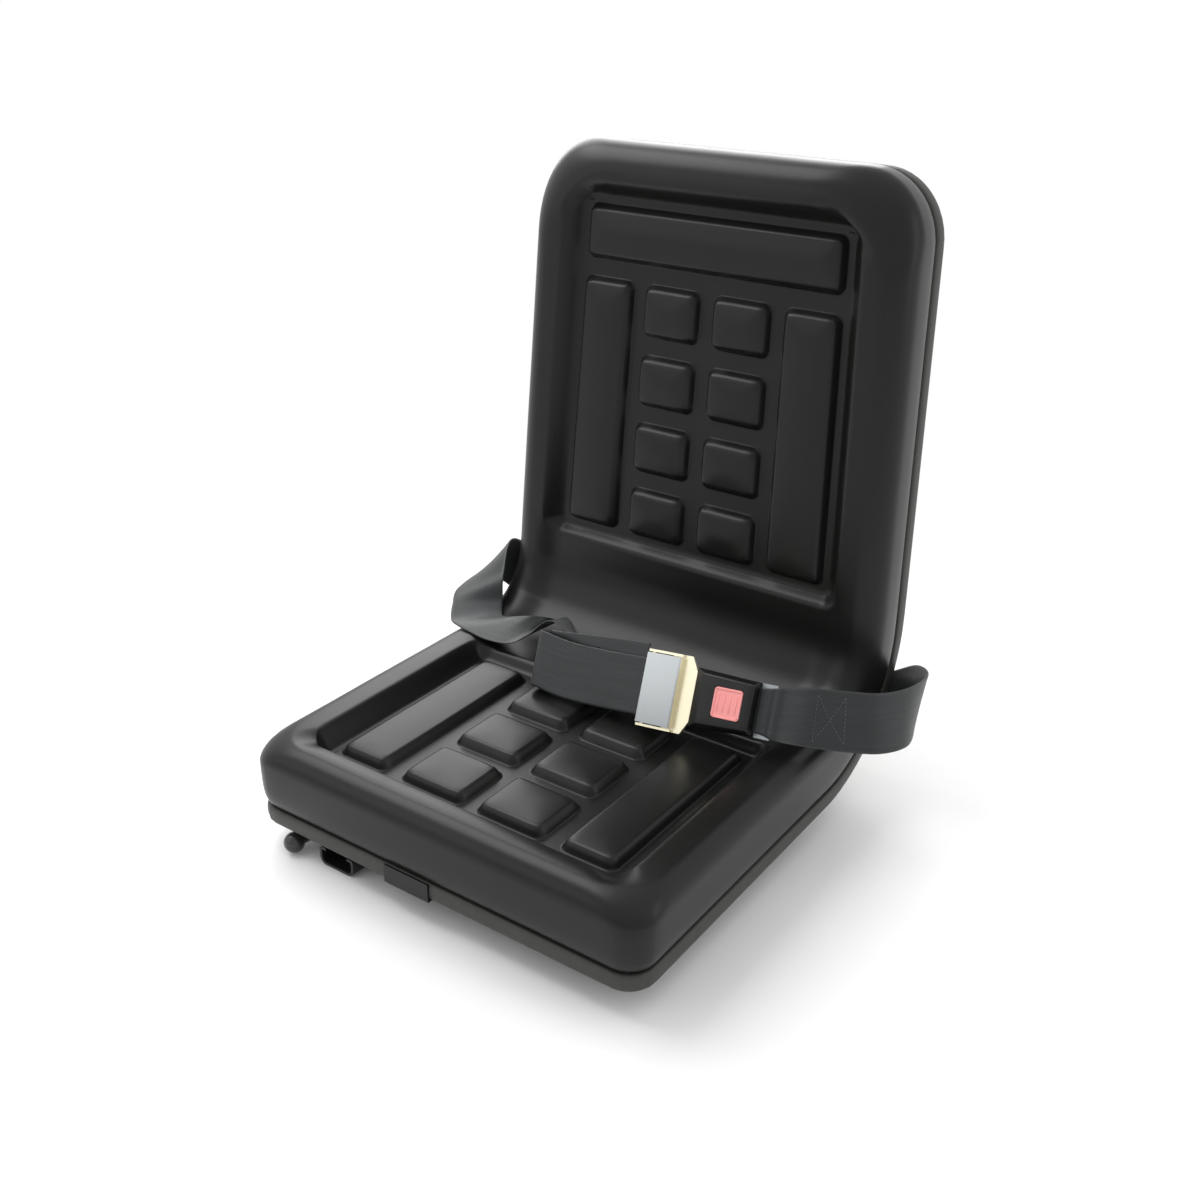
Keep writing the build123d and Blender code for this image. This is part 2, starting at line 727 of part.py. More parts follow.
# Tongue: yellow plate with two side flanges, its cover and the adjuster bar
plate_half = cover_width / 2 + plate_overhang
window_half = webbing / 2 + slot_play
frame_half = cover_length / 2
frame_start = -frame_half + cover_wall + blade_gap
with BuildPart() as tongue_plate:
    with BuildSketch(belt_plane.offset(-plate_sheet / 2)) as blank:
        with BuildLine():
            lower_edge = [
                (frame_start, -plate_half),
                (plate_shoulder - plate_overhang, -plate_half),
                (blade_start - blade_gap, -plate_half + 4 * plate_overhang),
                (blade_start - blade_gap, -blade_half),
                (blade_tip - plate_sheet, -blade_half),
                (blade_tip, -blade_half + plate_sheet),
            ]
            Polyline(*lower_edge, *[(along, -across) for along, across in reversed(lower_edge)], close=True)
        make_face()
        with Locations((bar_along, 0)):
            Rectangle(
                2 * (bar_along - frame_start - plate_overhang),
                2 * (plate_half - plate_flange),
                mode=Mode.SUBTRACT,
            )
        with Locations((blade_tip - latch_hole, 0)):
            Rectangle(latch_hole, latch_hole, mode=Mode.SUBTRACT)
    extrude(amount=plate_sheet)
    with BuildSketch(belt_plane.offset(-flange_reach)):
        for edge in (-1, 1):
            with Locations((0, edge * (plate_half - plate_flange / 2))):
                Rectangle(cover_length, plate_flange)
    extrude(amount=2 * flange_reach)
tongue_plate.part.label = "tongue_plate"
export_step(tongue_plate.part, "parts/tongue_plate.step")

with BuildPart() as tongue_cover:
    with BuildSketch(belt_section) as sleeve:
        with Locations((0, (cover_front - cover_rear) / 2)):
            Rectangle(cover_length, cover_front + cover_rear)
        fillet(sleeve.vertices(), 2 * cover_wall)
    extrude(amount=cover_width / 2, both=True)
    with BuildSketch(belt_section) as bore:
        with Locations((0, (cover_front - cover_rear) / 2)):
            Rectangle(cover_length - 2 * cover_wall, cover_front + cover_rear - 2 * cover_wall)
        fillet(bore.vertices(), cover_wall)
    extrude(amount=cover_width / 2, both=True, mode=Mode.SUBTRACT)
    with BuildSketch(belt_section):
        Rectangle(cover_length, plate_sheet + 2 * blade_gap, align=(Align.MIN, Align.CENTER))
    extrude(amount=cover_width / 2, both=True, mode=Mode.SUBTRACT)
    with BuildSketch(belt_section):
        with Locations((-cover_length, (cover_front - cover_rear) / 2)):
            Rectangle(cover_length, 2 * strap_opening, align=(Align.MIN, Align.CENTER))
    extrude(amount=window_half, both=True, mode=Mode.SUBTRACT)
tongue_cover.part.label = "tongue_cover"
export_step(tongue_cover.part, "parts/tongue_cover.step")

with BuildPart() as adjuster_bar:
    with BuildSketch(belt_section):
        with Locations((bar_along, 0)):
            Circle(bar_diameter / 2)
    extrude(amount=plate_half - plate_flange - soft_gap, both=True)
adjuster_bar.part.label = "adjuster_bar"
export_step(adjuster_bar.part, "parts/adjuster_bar.step")

# Buckle: two shells over a base plate, with the button and the latch
buckle_end = blade_start + buckle_length


def buckle_shell(height, inset, slope, bevel):
    """Half of the buckle's body, standing on the parting plane, drawn in at its mouth."""
    out = 1 if height > 0 else -1
    with BuildPart() as half:
        with BuildSketch(Plane(origin=belt_origin, x_dir=belt_along, z_dir=belt_face * out)):
            with BuildLine():
                Polyline(
                    (blade_start + inset, -mouth_half + inset),
                    (buckle_end - inset, -tail_half + inset),
                    (buckle_end - inset, tail_half - inset),
                    (blade_start + inset, mouth_half - inset),
                    close=True,
                )
            make_face()
        extrude(amount=abs(height) - inset, taper=slope)
        with BuildSketch(belt_section):
            with BuildLine():
                Polyline(
                    (blade_start + inset, out * (abs(height) / 2 - inset)),
                    (blade_start + inset + bevel, height - out * inset),
                    (blade_start - bevel, height - out * inset),
                    (blade_start - bevel, out * (abs(height) / 2 - inset)),
                    close=True,
                )
            make_face()
        extrude(amount=mouth_half, both=True, mode=Mode.SUBTRACT)
    return half.part


blade_slot = plate_sheet / 2 + blade_gap
base_low = base_top - base_sheet
upper_outside = buckle_shell(buckle_front, 0, buckle_slope, buckle_bevel)
upper_inside = buckle_shell(buckle_front, buckle_wall, buckle_slope, buckle_bevel)
lower_outside = buckle_shell(-buckle_rear, 0, buckle_slope, buckle_bevel)
lower_inside = buckle_shell(-buckle_rear, buckle_wall, buckle_slope, buckle_bevel)
with BuildPart() as buckle_cover:
    add(upper_outside)
    add(upper_inside, mode=Mode.SUBTRACT)
    with BuildSketch(belt_plane):
        with Locations((blade_start, 0)):
            Rectangle(4 * buckle_wall, 2 * (blade_half + blade_gap))
    extrude(amount=blade_slot, mode=Mode.SUBTRACT)
    with BuildSketch(belt_plane.offset(buckle_front / 2)) as window:
        with Locations((button_along, 0)):
            Rectangle(button_size + 2 * button_gap, button_size + 2 * button_gap)
    extrude(amount=buckle_front, mode=Mode.SUBTRACT)
buckle_cover.part.label = "buckle_cover"
export_step(buckle_cover.part, "parts/buckle_cover.step")

with BuildPart() as buckle_back:
    add(lower_outside)
    add(lower_inside, mode=Mode.SUBTRACT)
    with BuildSketch(belt_plane):
        with Locations((blade_start, 0)):
            Rectangle(4 * buckle_wall, 2 * (blade_half + blade_gap))
    extrude(amount=-blade_slot, mode=Mode.SUBTRACT)
    with BuildSketch(belt_plane.offset(base_low - blade_gap)):
        with Locations((buckle_end, 0)):
            Rectangle(6 * buckle_wall, 2 * (base_half + blade_gap))
    extrude(amount=base_sheet + 2 * blade_gap, mode=Mode.SUBTRACT)
buckle_back.part.label = "buckle_back"
export_step(buckle_back.part, "parts/buckle_back.step")

slot_along = base_end - slot_width
base_start = blade_start + 3 * buckle_wall
with BuildPart() as buckle_base:
    with BuildSketch(belt_plane.offset(base_low)):
        with Locations((base_start, 0)):
            Rectangle(base_end - base_start, 2 * base_half, align=(Align.MIN, Align.CENTER))
        with Locations((buckle_end + slot_play / 2, 0)):
            Rectangle(base_end - buckle_end - slot_play / 2, 2 * tail_half, align=(Align.MIN, Align.CENTER))
        with Locations((slot_along, 0)):
            Rectangle(slot_width, 2 * base_half, mode=Mode.SUBTRACT)
    extrude(amount=base_sheet)
buckle_base.part.label = "buckle_base"
export_step(buckle_base.part, "parts/buckle_base.step")

flange_top = buckle_front - buckle_wall - button_gap
with BuildPart() as buckle_button:
    with BuildSketch(belt_plane.offset(button_depth)):
        with Locations((button_along, 0)):
            Rectangle(button_size, button_size)
    extrude(amount=buckle_front + button_proud - button_depth)
    fillet(buckle_button.edges().filter_by(Axis(belt_origin, belt_face)), button_proud)
    with BuildSketch(belt_plane.offset(flange_top - button_flange_sheet)):
        with Locations((button_along, 0)):
            Rectangle(button_size + 2 * button_flange, button_size + 2 * button_flange)
    extrude(amount=button_flange_sheet)
buckle_button.part.label = "buckle_button"
export_step(buckle_button.part, "parts/buckle_button.step")

latch_half = blade_half + 2 * latch_sheet
latch_low = plate_sheet / 2 + blade_gap
with BuildPart() as latch_plate:
    with BuildSketch(belt_plane.offset(latch_low)):
        with Locations((blade_tip - latch_hole, 0)):
            Rectangle(latch_hole - latch_sheet, 2 * latch_half)
    extrude(amount=latch_sheet)
    with BuildSketch(belt_plane.offset(base_top)):
        for edge in (-1, 1):
            with Locations((blade_tip - latch_hole, edge * (latch_half - latch_sheet / 2))):
                Rectangle(latch_hole - latch_sheet, latch_sheet)
    extrude(amount=latch_low - base_top)
latch_plate.part.label = "latch_plate"
export_step(latch_plate.part, "parts/latch_plate.step")

leaf_start = blade_tip + 2 * plate_sheet
leaf_end = button_along + button_size / 2
with BuildPart() as button_spring:
    with BuildSketch(belt_section):
        with BuildLine():
            Polyline(
                (leaf_start, base_top),
                (leaf_end, base_top),
                (leaf_end, base_top + 2 * leaf_sheet),
                (leaf_start, button_depth - pin_gap),
                (leaf_start, button_depth - pin_gap - leaf_sheet),
                (leaf_end - 2 * leaf_sheet, base_top + leaf_sheet),
                (leaf_start, base_top + leaf_sheet),
                close=True,
            )
        make_face()
    extrude(amount=button_size / 4, both=True)
button_spring.part.label = "button_spring"
export_step(button_spring.part, "parts/button_spring.step")

# Webbing: the buckle's short strap, then the tongue's long one
strap_turn = radians(anchor_angle)
strap_tangent = (0, cos(strap_turn), sin(strap_turn))
anchor_out = Vector(0, sin(strap_turn), -cos(strap_turn))
strap_lift = bend_radius - pan_rise + anchor_seat + anchor_sheet + web_sheet
anchor_strap = Vector(0, bend_y, bend_z) + anchor_out * strap_lift
brow_z = trim_z + crest_height
slot_x = anchor_x + anchor_slot_offset


def bend_point(x, angle, lift):
    """Point beside the bend, at an angle round it and a distance outside the trim."""
    reach = bend_radius + lift
    return (x, bend_y + reach * sin(radians(angle)), bend_z - reach * cos(radians(angle)))


side_loop = [
    ((slot_x - 2 * anchor_slot, anchor_strap.Y, anchor_strap.Z), strap_tangent, webbing),
    ((anchor_x + anchor_length / 2 + slot_play, anchor_strap.Y, anchor_strap.Z), strap_tangent, webbing),
    (bend_point(half_width - 9, 56, 8.6), strap_tangent, webbing),
    (bend_point(half_width + 19, 61, -6), (0, 0.52, 0.85), webbing),
]
over_base = base_top + web_sheet / 2 + 2 * soft_gap
buckle_strap = ribbon(
    side_loop
    + [
        ((half_width + 43, bend_y + 78, brow_z + 11.5), (0, 0.47, 0.88), webbing),
        ((half_width + 51, bend_y + 36, brow_z + 19.5), (-0.2, 0.42, 0.88), webbing),
        ((half_width + 38.8, bend_y + 4.5, brow_z + 23.3), (-0.25, 0.42, 0.87), webbing),
        ((half_width + 13.5, bend_y - 16, brow_z + 26.5), (-0.22, 0.42, 0.88), webbing),
        ((half_width - 11, bend_y - 35, brow_z + 31), (-0.12, 0.45, 0.88), webbing),
        (belt_point(base_end + slot_play, 0, over_base), belt_across, 2 * base_half),
        (belt_point(buckle_end + slot_play / 2, 0, over_base), belt_across, 2 * base_half),
    ]
)
with BuildPart() as buckle_webbing:
    add(buckle_strap)
buckle_webbing.part.label = "buckle_webbing"
export_step(buckle_webbing.part, "parts/buckle_webbing.step")

turn_radius = bar_diameter / 2 + web_sheet / 2 + soft_gap + pin_gap * 6
quarter = turn_radius * sin(radians(45))
left_loop = ribbon(
    [((-x, y, z), across, width) for (x, y, z), across, width in side_loop]
    + [
        ((-half_width - 31, bend_y + 79, brow_z + 15.5), (0.1, 0.48, 0.87), webbing),
        ((-half_width - 23, bend_y + 41, brow_z + 21.5), (0.35, 0.45, 0.82), webbing),
        ((-half_width - 8, bend_y + 11, brow_z + 15.5), (0.6, 0.55, 0.58), webbing),
        ((-half_width + 7, bend_y - 10, brow_z + 5.5), (0.73, 0.66, 0.15), webbing),
        ((-half_width + 15, bend_y - 21, brow_z + 4), (0.73, 0.66, 0.05), webbing),
    ]
)
long_strap = ribbon(
    [
        ((-half_width - 3, bend_y - 19, brow_z + 3.5), (0.3, 0.95, 0.1), webbing),
        ((-half_width + 23, bend_y - 16, brow_z + 6), (0.2, 0.96, 0.12), webbing),
        ((-half_width + 55, bend_y - 10, brow_z + 8), (0.1, 0.97, 0.2), webbing),
        ((-half_width + 95, bend_y - 8, brow_z + 11.5), (0.0, 0.88, 0.48), webbing),
        ((-half_width + 135, bend_y - 17, brow_z + 18.5), (0.0, 0.68, 0.73), webbing),
        ((-half_width + 185, bend_y - 33, brow_z + 22), (-0.05, 0.52, 0.85), webbing),
        (belt_point(-40, 0, -15.5), belt_across, webbing),
        (belt_point(-frame_half - 2, 0, -turn_radius), belt_across, webbing),
        (belt_point(bar_along, 0, -turn_radius), belt_across, webbing),
        (belt_point(bar_along + quarter, 0, -quarter), belt_across, webbing),
        (belt_point(bar_along + turn_radius, 0, 0), belt_across, webbing),
        (belt_point(bar_along + quarter, 0, quarter), belt_across, webbing),
        (belt_point(bar_along, 0, turn_radius), belt_across, webbing),
        (belt_point(-frame_half - 2, 0, turn_radius), belt_across, webbing),
        (belt_point(-64, -0.6, 3), belt_across, webbing),
        (belt_point(-97, 0.5, 2.5), belt_across, webbing),
        (belt_point(-124, 5, 2.5), belt_across, webbing),
        (belt_point(-130.5, 5.5, 0), belt_across, webbing),
        (belt_point(-132.5, 5.5, -3.5), belt_across, webbing),
        (belt_point(-130.5, 5.5, -7), belt_across, webbing),
        (belt_point(-124, 5, -9), belt_across, webbing),
        (belt_point(-90, 3, -8.5), belt_across, webbing),
        (belt_point(-48, 1, -8), belt_across, webbing),
    ]
)
with BuildPart() as tongue_webbing:
    add(long_strap)
    add(left_loop)
tongue_webbing.part.label = "tongue_webbing"
export_step(tongue_webbing.part, "parts/tongue_webbing.step")
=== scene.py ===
# %% [markdown]
# # Tractor seat
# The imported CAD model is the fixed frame. Each visible piece is either one of its solids with a
# better finish, or a new piece that rides on the same body and stands for a solid.

# %% Load the frame
from math import cos, hypot, pi, radians, sin, tan

import bmesh
import bpy
import numpy as np
from mathutils import Matrix, Vector, noise


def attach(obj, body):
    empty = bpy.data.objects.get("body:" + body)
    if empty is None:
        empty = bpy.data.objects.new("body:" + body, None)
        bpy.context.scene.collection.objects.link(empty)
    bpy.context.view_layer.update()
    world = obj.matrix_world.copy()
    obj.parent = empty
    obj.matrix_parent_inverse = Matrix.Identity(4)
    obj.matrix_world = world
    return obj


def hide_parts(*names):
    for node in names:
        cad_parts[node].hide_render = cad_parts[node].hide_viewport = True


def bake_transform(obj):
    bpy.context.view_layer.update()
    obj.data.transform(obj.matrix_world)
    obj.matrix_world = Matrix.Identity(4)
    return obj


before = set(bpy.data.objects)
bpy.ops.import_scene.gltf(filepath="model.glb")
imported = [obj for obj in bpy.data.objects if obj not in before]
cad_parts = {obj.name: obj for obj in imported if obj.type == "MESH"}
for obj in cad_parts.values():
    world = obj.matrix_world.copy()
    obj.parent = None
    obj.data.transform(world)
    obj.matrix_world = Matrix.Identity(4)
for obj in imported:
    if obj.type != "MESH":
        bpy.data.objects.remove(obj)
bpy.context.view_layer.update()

MM = 0.001
bpy.ops.object.select_all(action="DESELECT")

# %% [markdown]
# ## Materials
# Colours are written as sRGB hex, the way a colour picker shows them, and turned to linear once.
# One small helper adds a node with its settings and its links, so each finish reads as a list.


# %% Colour and node helpers
def srgb(text):
    """Linear colour with alpha from an sRGB hex value."""
    channels = [int(text[i:i + 2], 16) / 255 for i in (0, 2, 4)]
    linear = [c / 12.92 if c <= 0.04045 else ((c + 0.055) / 1.055) ** 2.4 for c in channels]
    return (*linear, 1.0)


def new_material(name):
    """A material with an output and a surface shader, returned with its tree and that shader."""
    material = bpy.data.materials.new(name)
    material.use_nodes = True
    tree = material.node_tree
    return material, tree, tree.nodes["Principled BSDF"]


def node(tree, kind, settings=None, **inputs):
    """Adds a node, sets its properties, and fills or links the sockets that are named."""
    made = tree.nodes.new(kind)
    for key, value in (settings or {}).items():
        setattr(made, key, value)
    for key, value in inputs.items():
        numbered = key[0] == "i" and key[1:].isdigit()
        socket = made.inputs[int(key[1:]) if numbered else key.replace("_", " ")]
        if isinstance(value, bpy.types.NodeSocket):
            tree.links.new(value, socket)
        else:
            socket.default_value = value
    return made


def dress(obj, material):
    """Gives a piece or a CAD node one material."""
    obj.data.materials.clear()
    obj.data.materials.append(material)


print("black as a linear value:", round(srgb("121312")[0], 4))

# %% [markdown]
# ## Camera
# The view was worked out from the seat's own outline: the straight trim, the bend and the back
# edge fix the lens and the place of the camera, with the belt webbing as the scale.

# %% Camera
camera_place = Vector((594.9, -813.2, 699.2)) * MM
camera_azimuth, camera_elevation, camera_roll = radians(34.93), radians(25.69), radians(0.59)
image_side = 1200
focal_pixels = 1362.0
axis_pixel = (598.2, 596.6)

back = Vector((
    sin(camera_azimuth) * cos(camera_elevation),
    -cos(camera_azimuth) * cos(camera_elevation),
    sin(camera_elevation),
))
side = Vector((0, 0, 1)).cross(back).normalized()
top = back.cross(side)
turned_side = side * cos(camera_roll) + top * sin(camera_roll)
turned_top = top * cos(camera_roll) - side * sin(camera_roll)
camera_data = bpy.data.cameras.new("camera")
camera_data.sensor_width = 36.0
camera_data.lens = 36.0 * focal_pixels / image_side
camera_data.shift_x = (image_side / 2 - axis_pixel[0]) / image_side
camera_data.shift_y = (axis_pixel[1] - image_side / 2) / image_side
camera_data.clip_start = 0.01
camera = bpy.data.objects.new("camera", camera_data)
bpy.context.scene.collection.objects.link(camera)
camera.matrix_world = Matrix.Translation(camera_place) @ Matrix(
    (turned_side, turned_top, back)
).transposed().to_4x4()
bpy.context.scene.camera = camera
print("lens:", round(camera_data.lens, 2), "mm")

# %% [markdown]
# ## The cushion
# The real cushion is foam with a black vinyl skin that was formed in a mould: puffed borders, two
# sunk panels and raised blocks with rounded edges. Loose fabric would be made with the cloth
# simulation, but this skin is moulded, and a remesh would wipe out the blocks. So the form is laid
# out flat, as width, length along the seat's side outline, and height, and then bent over the
# outline of seat, bend and back.

# %% Side outline
FRONT_Y, TRIM_Z = -187.0, 24.0
SEAT_RUN, BEND_R, RECLINE, BACK_RUN = 294.0, 134.0, radians(3.7), 389.0
BEND_ANGLE = pi / 2 - RECLINE
BACK_FOOT = SEAT_RUN + BEND_R * BEND_ANGLE
LENGTH = BACK_FOOT + BACK_RUN
HALF, FRONT_CORNER, TOP_CORNER = 195.0, 24.0, 58.0
TAPER, TAPER_BLEND = tan(radians(2.1)), 27.5


def half_width(v):
    """Half width of the trim at a length along the outline: even, then narrowing up the back."""
    rise = np.asarray(v, float) - BACK_FOOT
    blend = np.clip((rise + TAPER_BLEND) / (2 * TAPER_BLEND), 0, 1)
    return HALF - TAPER * np.where(rise > TAPER_BLEND, rise, blend ** 2 * TAPER_BLEND)


def bent(u, v, h):
    """Points in metres for width u, length v and height h, all in millimetres."""
    u, v, h = np.broadcast_arrays(*(np.asarray(a, float) for a in (u, v, h)))
    turn = np.clip((v - SEAT_RUN) / BEND_R, 0, BEND_ANGLE)
    over = v - np.where(v < SEAT_RUN, v, SEAT_RUN + turn * BEND_R)
    run = np.minimum(v, SEAT_RUN)
    y = FRONT_Y + run + (BEND_R - h) * np.sin(turn) + over * np.cos(turn)
    z = TRIM_Z + BEND_R - (BEND_R - h) * np.cos(turn) + over * np.sin(turn)
    return np.stack([u, y, z], -1) * MM


print("outline length:", round(LENGTH, 1), "mm")

# %% [markdown]
# The raised pattern: rows and columns of cells on the seat and on the back. Mesh lines are packed
# along every cell edge, so that the rounded walls are real geometry.

# %% Pattern and mesh lines
EDGE_LINES = (-2.4, -1.1, 0.0, 0.8, 1.7, 2.7, 3.8, 5.0, 6.3, 7.8)
SEAT_COLUMNS = ((6.1, 73.1), (88.5, 140.8))
BACK_COLUMNS = ((6.7, 68.0), (80.3, 137.7))
SEAT_ROWS = [(48.0 + i * 68.6, 105.0 + i * 68.6) for i in range(3)]
BACK_ROWS = [(38.7 + i * 62.7, 86.1 + i * 62.7) for i in range(4)]
TOP_BAR = (289.5, 338.0)
PATTERN_TAPER = 0.085


def back_scale(w):
    """Share of its lower width that the back's pattern has at a height on the back."""
    return 1 - PATTERN_TAPER * (w - BACK_ROWS[0][0]) / (TOP_BAR[1] - BACK_ROWS[0][0])


def lines_between(low, high, step):
    """Evenly spaced lines strictly between two others."""
    count = max(int(round((high - low) / step)), 1)
    return [low + (high - low) * i / count for i in range(1, count)]


def packed_lines(spans, inside):
    """Lines along a row of cells: packed at each edge, spread in between."""
    lines = []
    for low, high in spans:
        first = [low + e for e in EDGE_LINES]
        last = [high - e for e in reversed(EDGE_LINES)]
        middle = [first[-1] + (last[0] - first[-1]) * i / inside for i in range(1, inside)]
        lines += first + middle + last
    return lines


seat_half, back_half = packed_lines(SEAT_COLUMNS, 8), packed_lines(BACK_COLUMNS, 8)
seat_x = np.array([-x for x in reversed(seat_half)] + [0.0] + seat_half)
back_x = np.array([-x for x in reversed(back_half)] + [0.0] + back_half)
seat_v = packed_lines(SEAT_ROWS, 8)
back_v = [BACK_FOOT + w for w in packed_lines(BACK_ROWS + [TOP_BAR], 6)]
BEND_START, BEND_END = 272.0, BACK_FOOT + 4.0
bend_v = (
    lines_between(seat_v[-1], BEND_START, 1.9)
    + [BEND_START]
    + lines_between(BEND_START, BEND_END, 5.2)
    + [BEND_END]
    + lines_between(BEND_END, back_v[0], 1.9)
)
grid_v = np.array(seat_v + bend_v + back_v)
print("mesh lines:", len(seat_x), "across,", len(grid_v), "along")

# %% [markdown]
# The heights: a floor in each sunk panel, a soft slope up to the puffed border, and the cells with
# a tight toe, a rounder top edge and a slight crown.

# %% Heights
FLOOR, SEAT_CREST, BACK_CREST, LAP = 58.0, 76.0, 74.5, 67.5
CELL_RISE, WALL_RUN, CELL_CORNER = 8.4, 7.4, 9.5
SEAT_CROWN, BACK_CROWN = 0.9, 2.2
SEAT_PANEL = (148.8, 40.0, 250.2)
BACK_PANEL = (145.7, 30.7, 346.0)
PANEL_CORNER = 7.0
PANELS = ((False, SEAT_COLUMNS, SEAT_ROWS), (True, BACK_COLUMNS, BACK_ROWS))
SHARE_START, SHARE_END = 250.0, BACK_FOOT + 40.0
LAP_FRONT, LAP_FRONT_RUN = 222.0, 40.0
LAP_BACK, LAP_BACK_RUN = BACK_FOOT + 62.0, 46.0
LAP_HALF, LAP_SIDE_RUN = 176.0, 42.0
SLOPE_TOE, SLOPE_RUN, LAP_SLOPE, CROWN_RUN = 4.0, 20.0, 6.0, 26.0


def smooth(t):
    """Soft step from 0 to 1."""
    t = np.clip(t, 0, 1)
    return t * t * t * (t * (6 * t - 15) + 10)


def back_share(v):
    """0 on the seat, 1 on the back, with a soft change through the bend."""
    return smooth((v - SHARE_START) / (SHARE_END - SHARE_START))


def crest(v):
    """Height of the border's crest."""
    return SEAT_CREST + (BACK_CREST - SEAT_CREST) * back_share(v)


def round_box(x, y, x0, x1, y0, y1, corner):
    """Distance outside a rectangle with rounded corners, negative inside."""
    qx = np.abs(x - (x0 + x1) / 2) - (x1 - x0) / 2 + corner
    qy = np.abs(y - (y0 + y1) / 2) - (y1 - y0) / 2 + corner
    outside = np.hypot(np.maximum(qx, 0), np.maximum(qy, 0))
    return outside + np.minimum(np.maximum(qx, qy), 0) - corner


def cells():
    """Outlines of the cells: on the back or not, then left, right, low and high."""
    for sign in (-1, 1):
        for on_back, (block, bar), rows in PANELS:
            for low, high in rows:
                yield on_back, *sorted((sign * block[0], sign * block[1])), low, high
            yield on_back, *sorted((sign * bar[0], sign * bar[1])), rows[0][0], rows[-1][1]
    yield True, -BACK_COLUMNS[1][1], BACK_COLUMNS[1][1], *TOP_BAR


def wall_profile(depth):
    """Rise of a cell's wall at a distance inside its outline: tight toe, rounder top edge."""
    t = np.clip(depth / WALL_RUN, 0, 1)
    return 1 - (1 - t ** 1.15) ** 2.3


def cushion_height(u, v):
    """Height of the skin above the trim's outer face, away from the outer border."""
    w = v - BACK_FOOT
    on_back = v > (SEAT_RUN + BACK_FOOT) / 2
    across = np.where(on_back, u / back_scale(np.clip(w, 0, BACK_RUN)), u)
    seat_gap = round_box(u, v, -SEAT_PANEL[0], SEAT_PANEL[0], *SEAT_PANEL[1:], PANEL_CORNER)
    back_gap = round_box(across, w, -BACK_PANEL[0], BACK_PANEL[0], *BACK_PANEL[1:], PANEL_CORNER)
    gap = np.where(on_back, back_gap, seat_gap)
    lap = smooth((v - LAP_FRONT) / LAP_FRONT_RUN) * smooth((LAP_BACK - v) / LAP_BACK_RUN)
    lap = lap * smooth((LAP_HALF - np.abs(across)) / LAP_SIDE_RUN)
    brow = crest(v) - (crest(v) - LAP) * lap
    height = FLOOR + (brow - FLOOR) * smooth((gap + SLOPE_TOE) / (SLOPE_RUN - LAP_SLOPE * lap))
    for cell_on_back, left, right, low, high in cells():
        x, y = (across, w) if cell_on_back else (u, v)
        depth = -round_box(x, y, left, right, low, high, CELL_CORNER)
        depth = np.where(on_back == cell_on_back, depth, -1.0)
        rounding = (BACK_CROWN if cell_on_back else SEAT_CROWN) * smooth(depth / CROWN_RUN)
        height = height + CELL_RISE * wall_profile(depth) + rounding
    return height


def wobble(u, v, size, seed):
    """Slow unevenness of hand-fitted foam, between -1 and 1."""
    places = zip(np.ravel(u) / size, np.ravel(v) / size)
    return np.reshape([noise.noise(Vector((a, b, seed))) for a, b in places], np.shape(u))


print("cells:", len(list(cells())))

# %% [markdown]
# The panels share one grid of points. Its columns follow the seat's cells in front and the back's
# narrower ones behind, and change over softly in the bend, where there are no cells.

# %% Panel grid
MIX_START, MIX_END = 262.0, BACK_FOOT + 20.0
back_mix = smooth((grid_v - MIX_START) / (MIX_END - MIX_START))[:, None]
back_lines = np.outer(back_scale(np.clip(grid_v - BACK_FOOT, 0, BACK_RUN)), back_x)
grid_u = (1 - back_mix) * seat_x[None, :] + back_mix * back_lines
grid_vv = np.repeat(grid_v[:, None], len(seat_x), 1)
grid_h = cushion_height(grid_u, grid_vv)
print("heights:", round(grid_h.min(), 1), "to", round(grid_h.max(), 1))

# %% [markdown]
# The border: lines that run round the whole seat, from the panels to the crest, over the shoulder
# and down the puffed side to the seam. A line is a rectangle with rounded corners, laid out flat
# and then bent with the rest. The corners are rounder at the crest than at the seam, as foam is.

# %% Border lines
FAN = 75.0
rows, columns = grid_u.shape
loop = (
    [(0, i) for i in range(columns)]
    + [(j, columns - 1) for j in range(1, rows)]
    + [(rows - 1, i) for i in range(columns - 2, -1, -1)]
    + [(j, 0) for j in range(rows - 2, 0, -1)]
)
loop_u = np.array([grid_u[j, i] for j, i in loop])
loop_v = np.array([grid_vv[j, i] for j, i in loop])
ends = {1: (0.0, grid_v[0], grid_u[0, -1]), -1: (LENGTH, grid_v[-1], grid_u[-1, -1])}


def border_point(u, v, inset, corner):
    """Point on a border line that belongs to a point on the panels' edge."""
    flip_u = -1 if u < 0 else 1
    flip_v = -1 if v > LENGTH / 2 else 1
    end_v, edge_v, edge_u = ends[flip_v]
    spread = HALF / float(half_width(end_v))
    centre_u, centre_v = HALF - inset - corner, inset + corner
    half_arc = corner * pi / 4
    on_end = v == edge_v
    away = edge_u - abs(u) if on_end else abs(v - edge_v)
    if away >= FAN:
        return (u * spread, end_v + flip_v * inset) if on_end else (flip_u * (HALF - inset), v)
    if on_end:
        straight = centre_u - (edge_u - FAN) * spread
    else:
        straight = abs(edge_v - end_v) + FAN - centre_v
    path = away / FAN * (half_arc + straight)
    if path < half_arc:
        angle = -pi / 4 + (-path if on_end else path) / corner
        round_u, round_v = centre_u + corner * cos(angle), centre_v + corner * sin(angle)
        return flip_u * round_u, end_v + flip_v * round_v
    if on_end:
        return flip_u * (centre_u - path + half_arc), end_v + flip_v * inset
    return flip_u * (HALF - inset), end_v + flip_v * (centre_v + path - half_arc)


def border_line(inset, front, top):
    """A whole border line at an inset, with its corner radii, as width and length arrays."""
    inset = np.broadcast_to(inset, loop_u.shape)
    corner = np.where(loop_v > LENGTH / 2, top, front)
    places = [border_point(*values) for values in zip(loop_u, loop_v, inset, corner)]
    u, v = np.array(places).T
    return u * half_width(v) / HALF, v


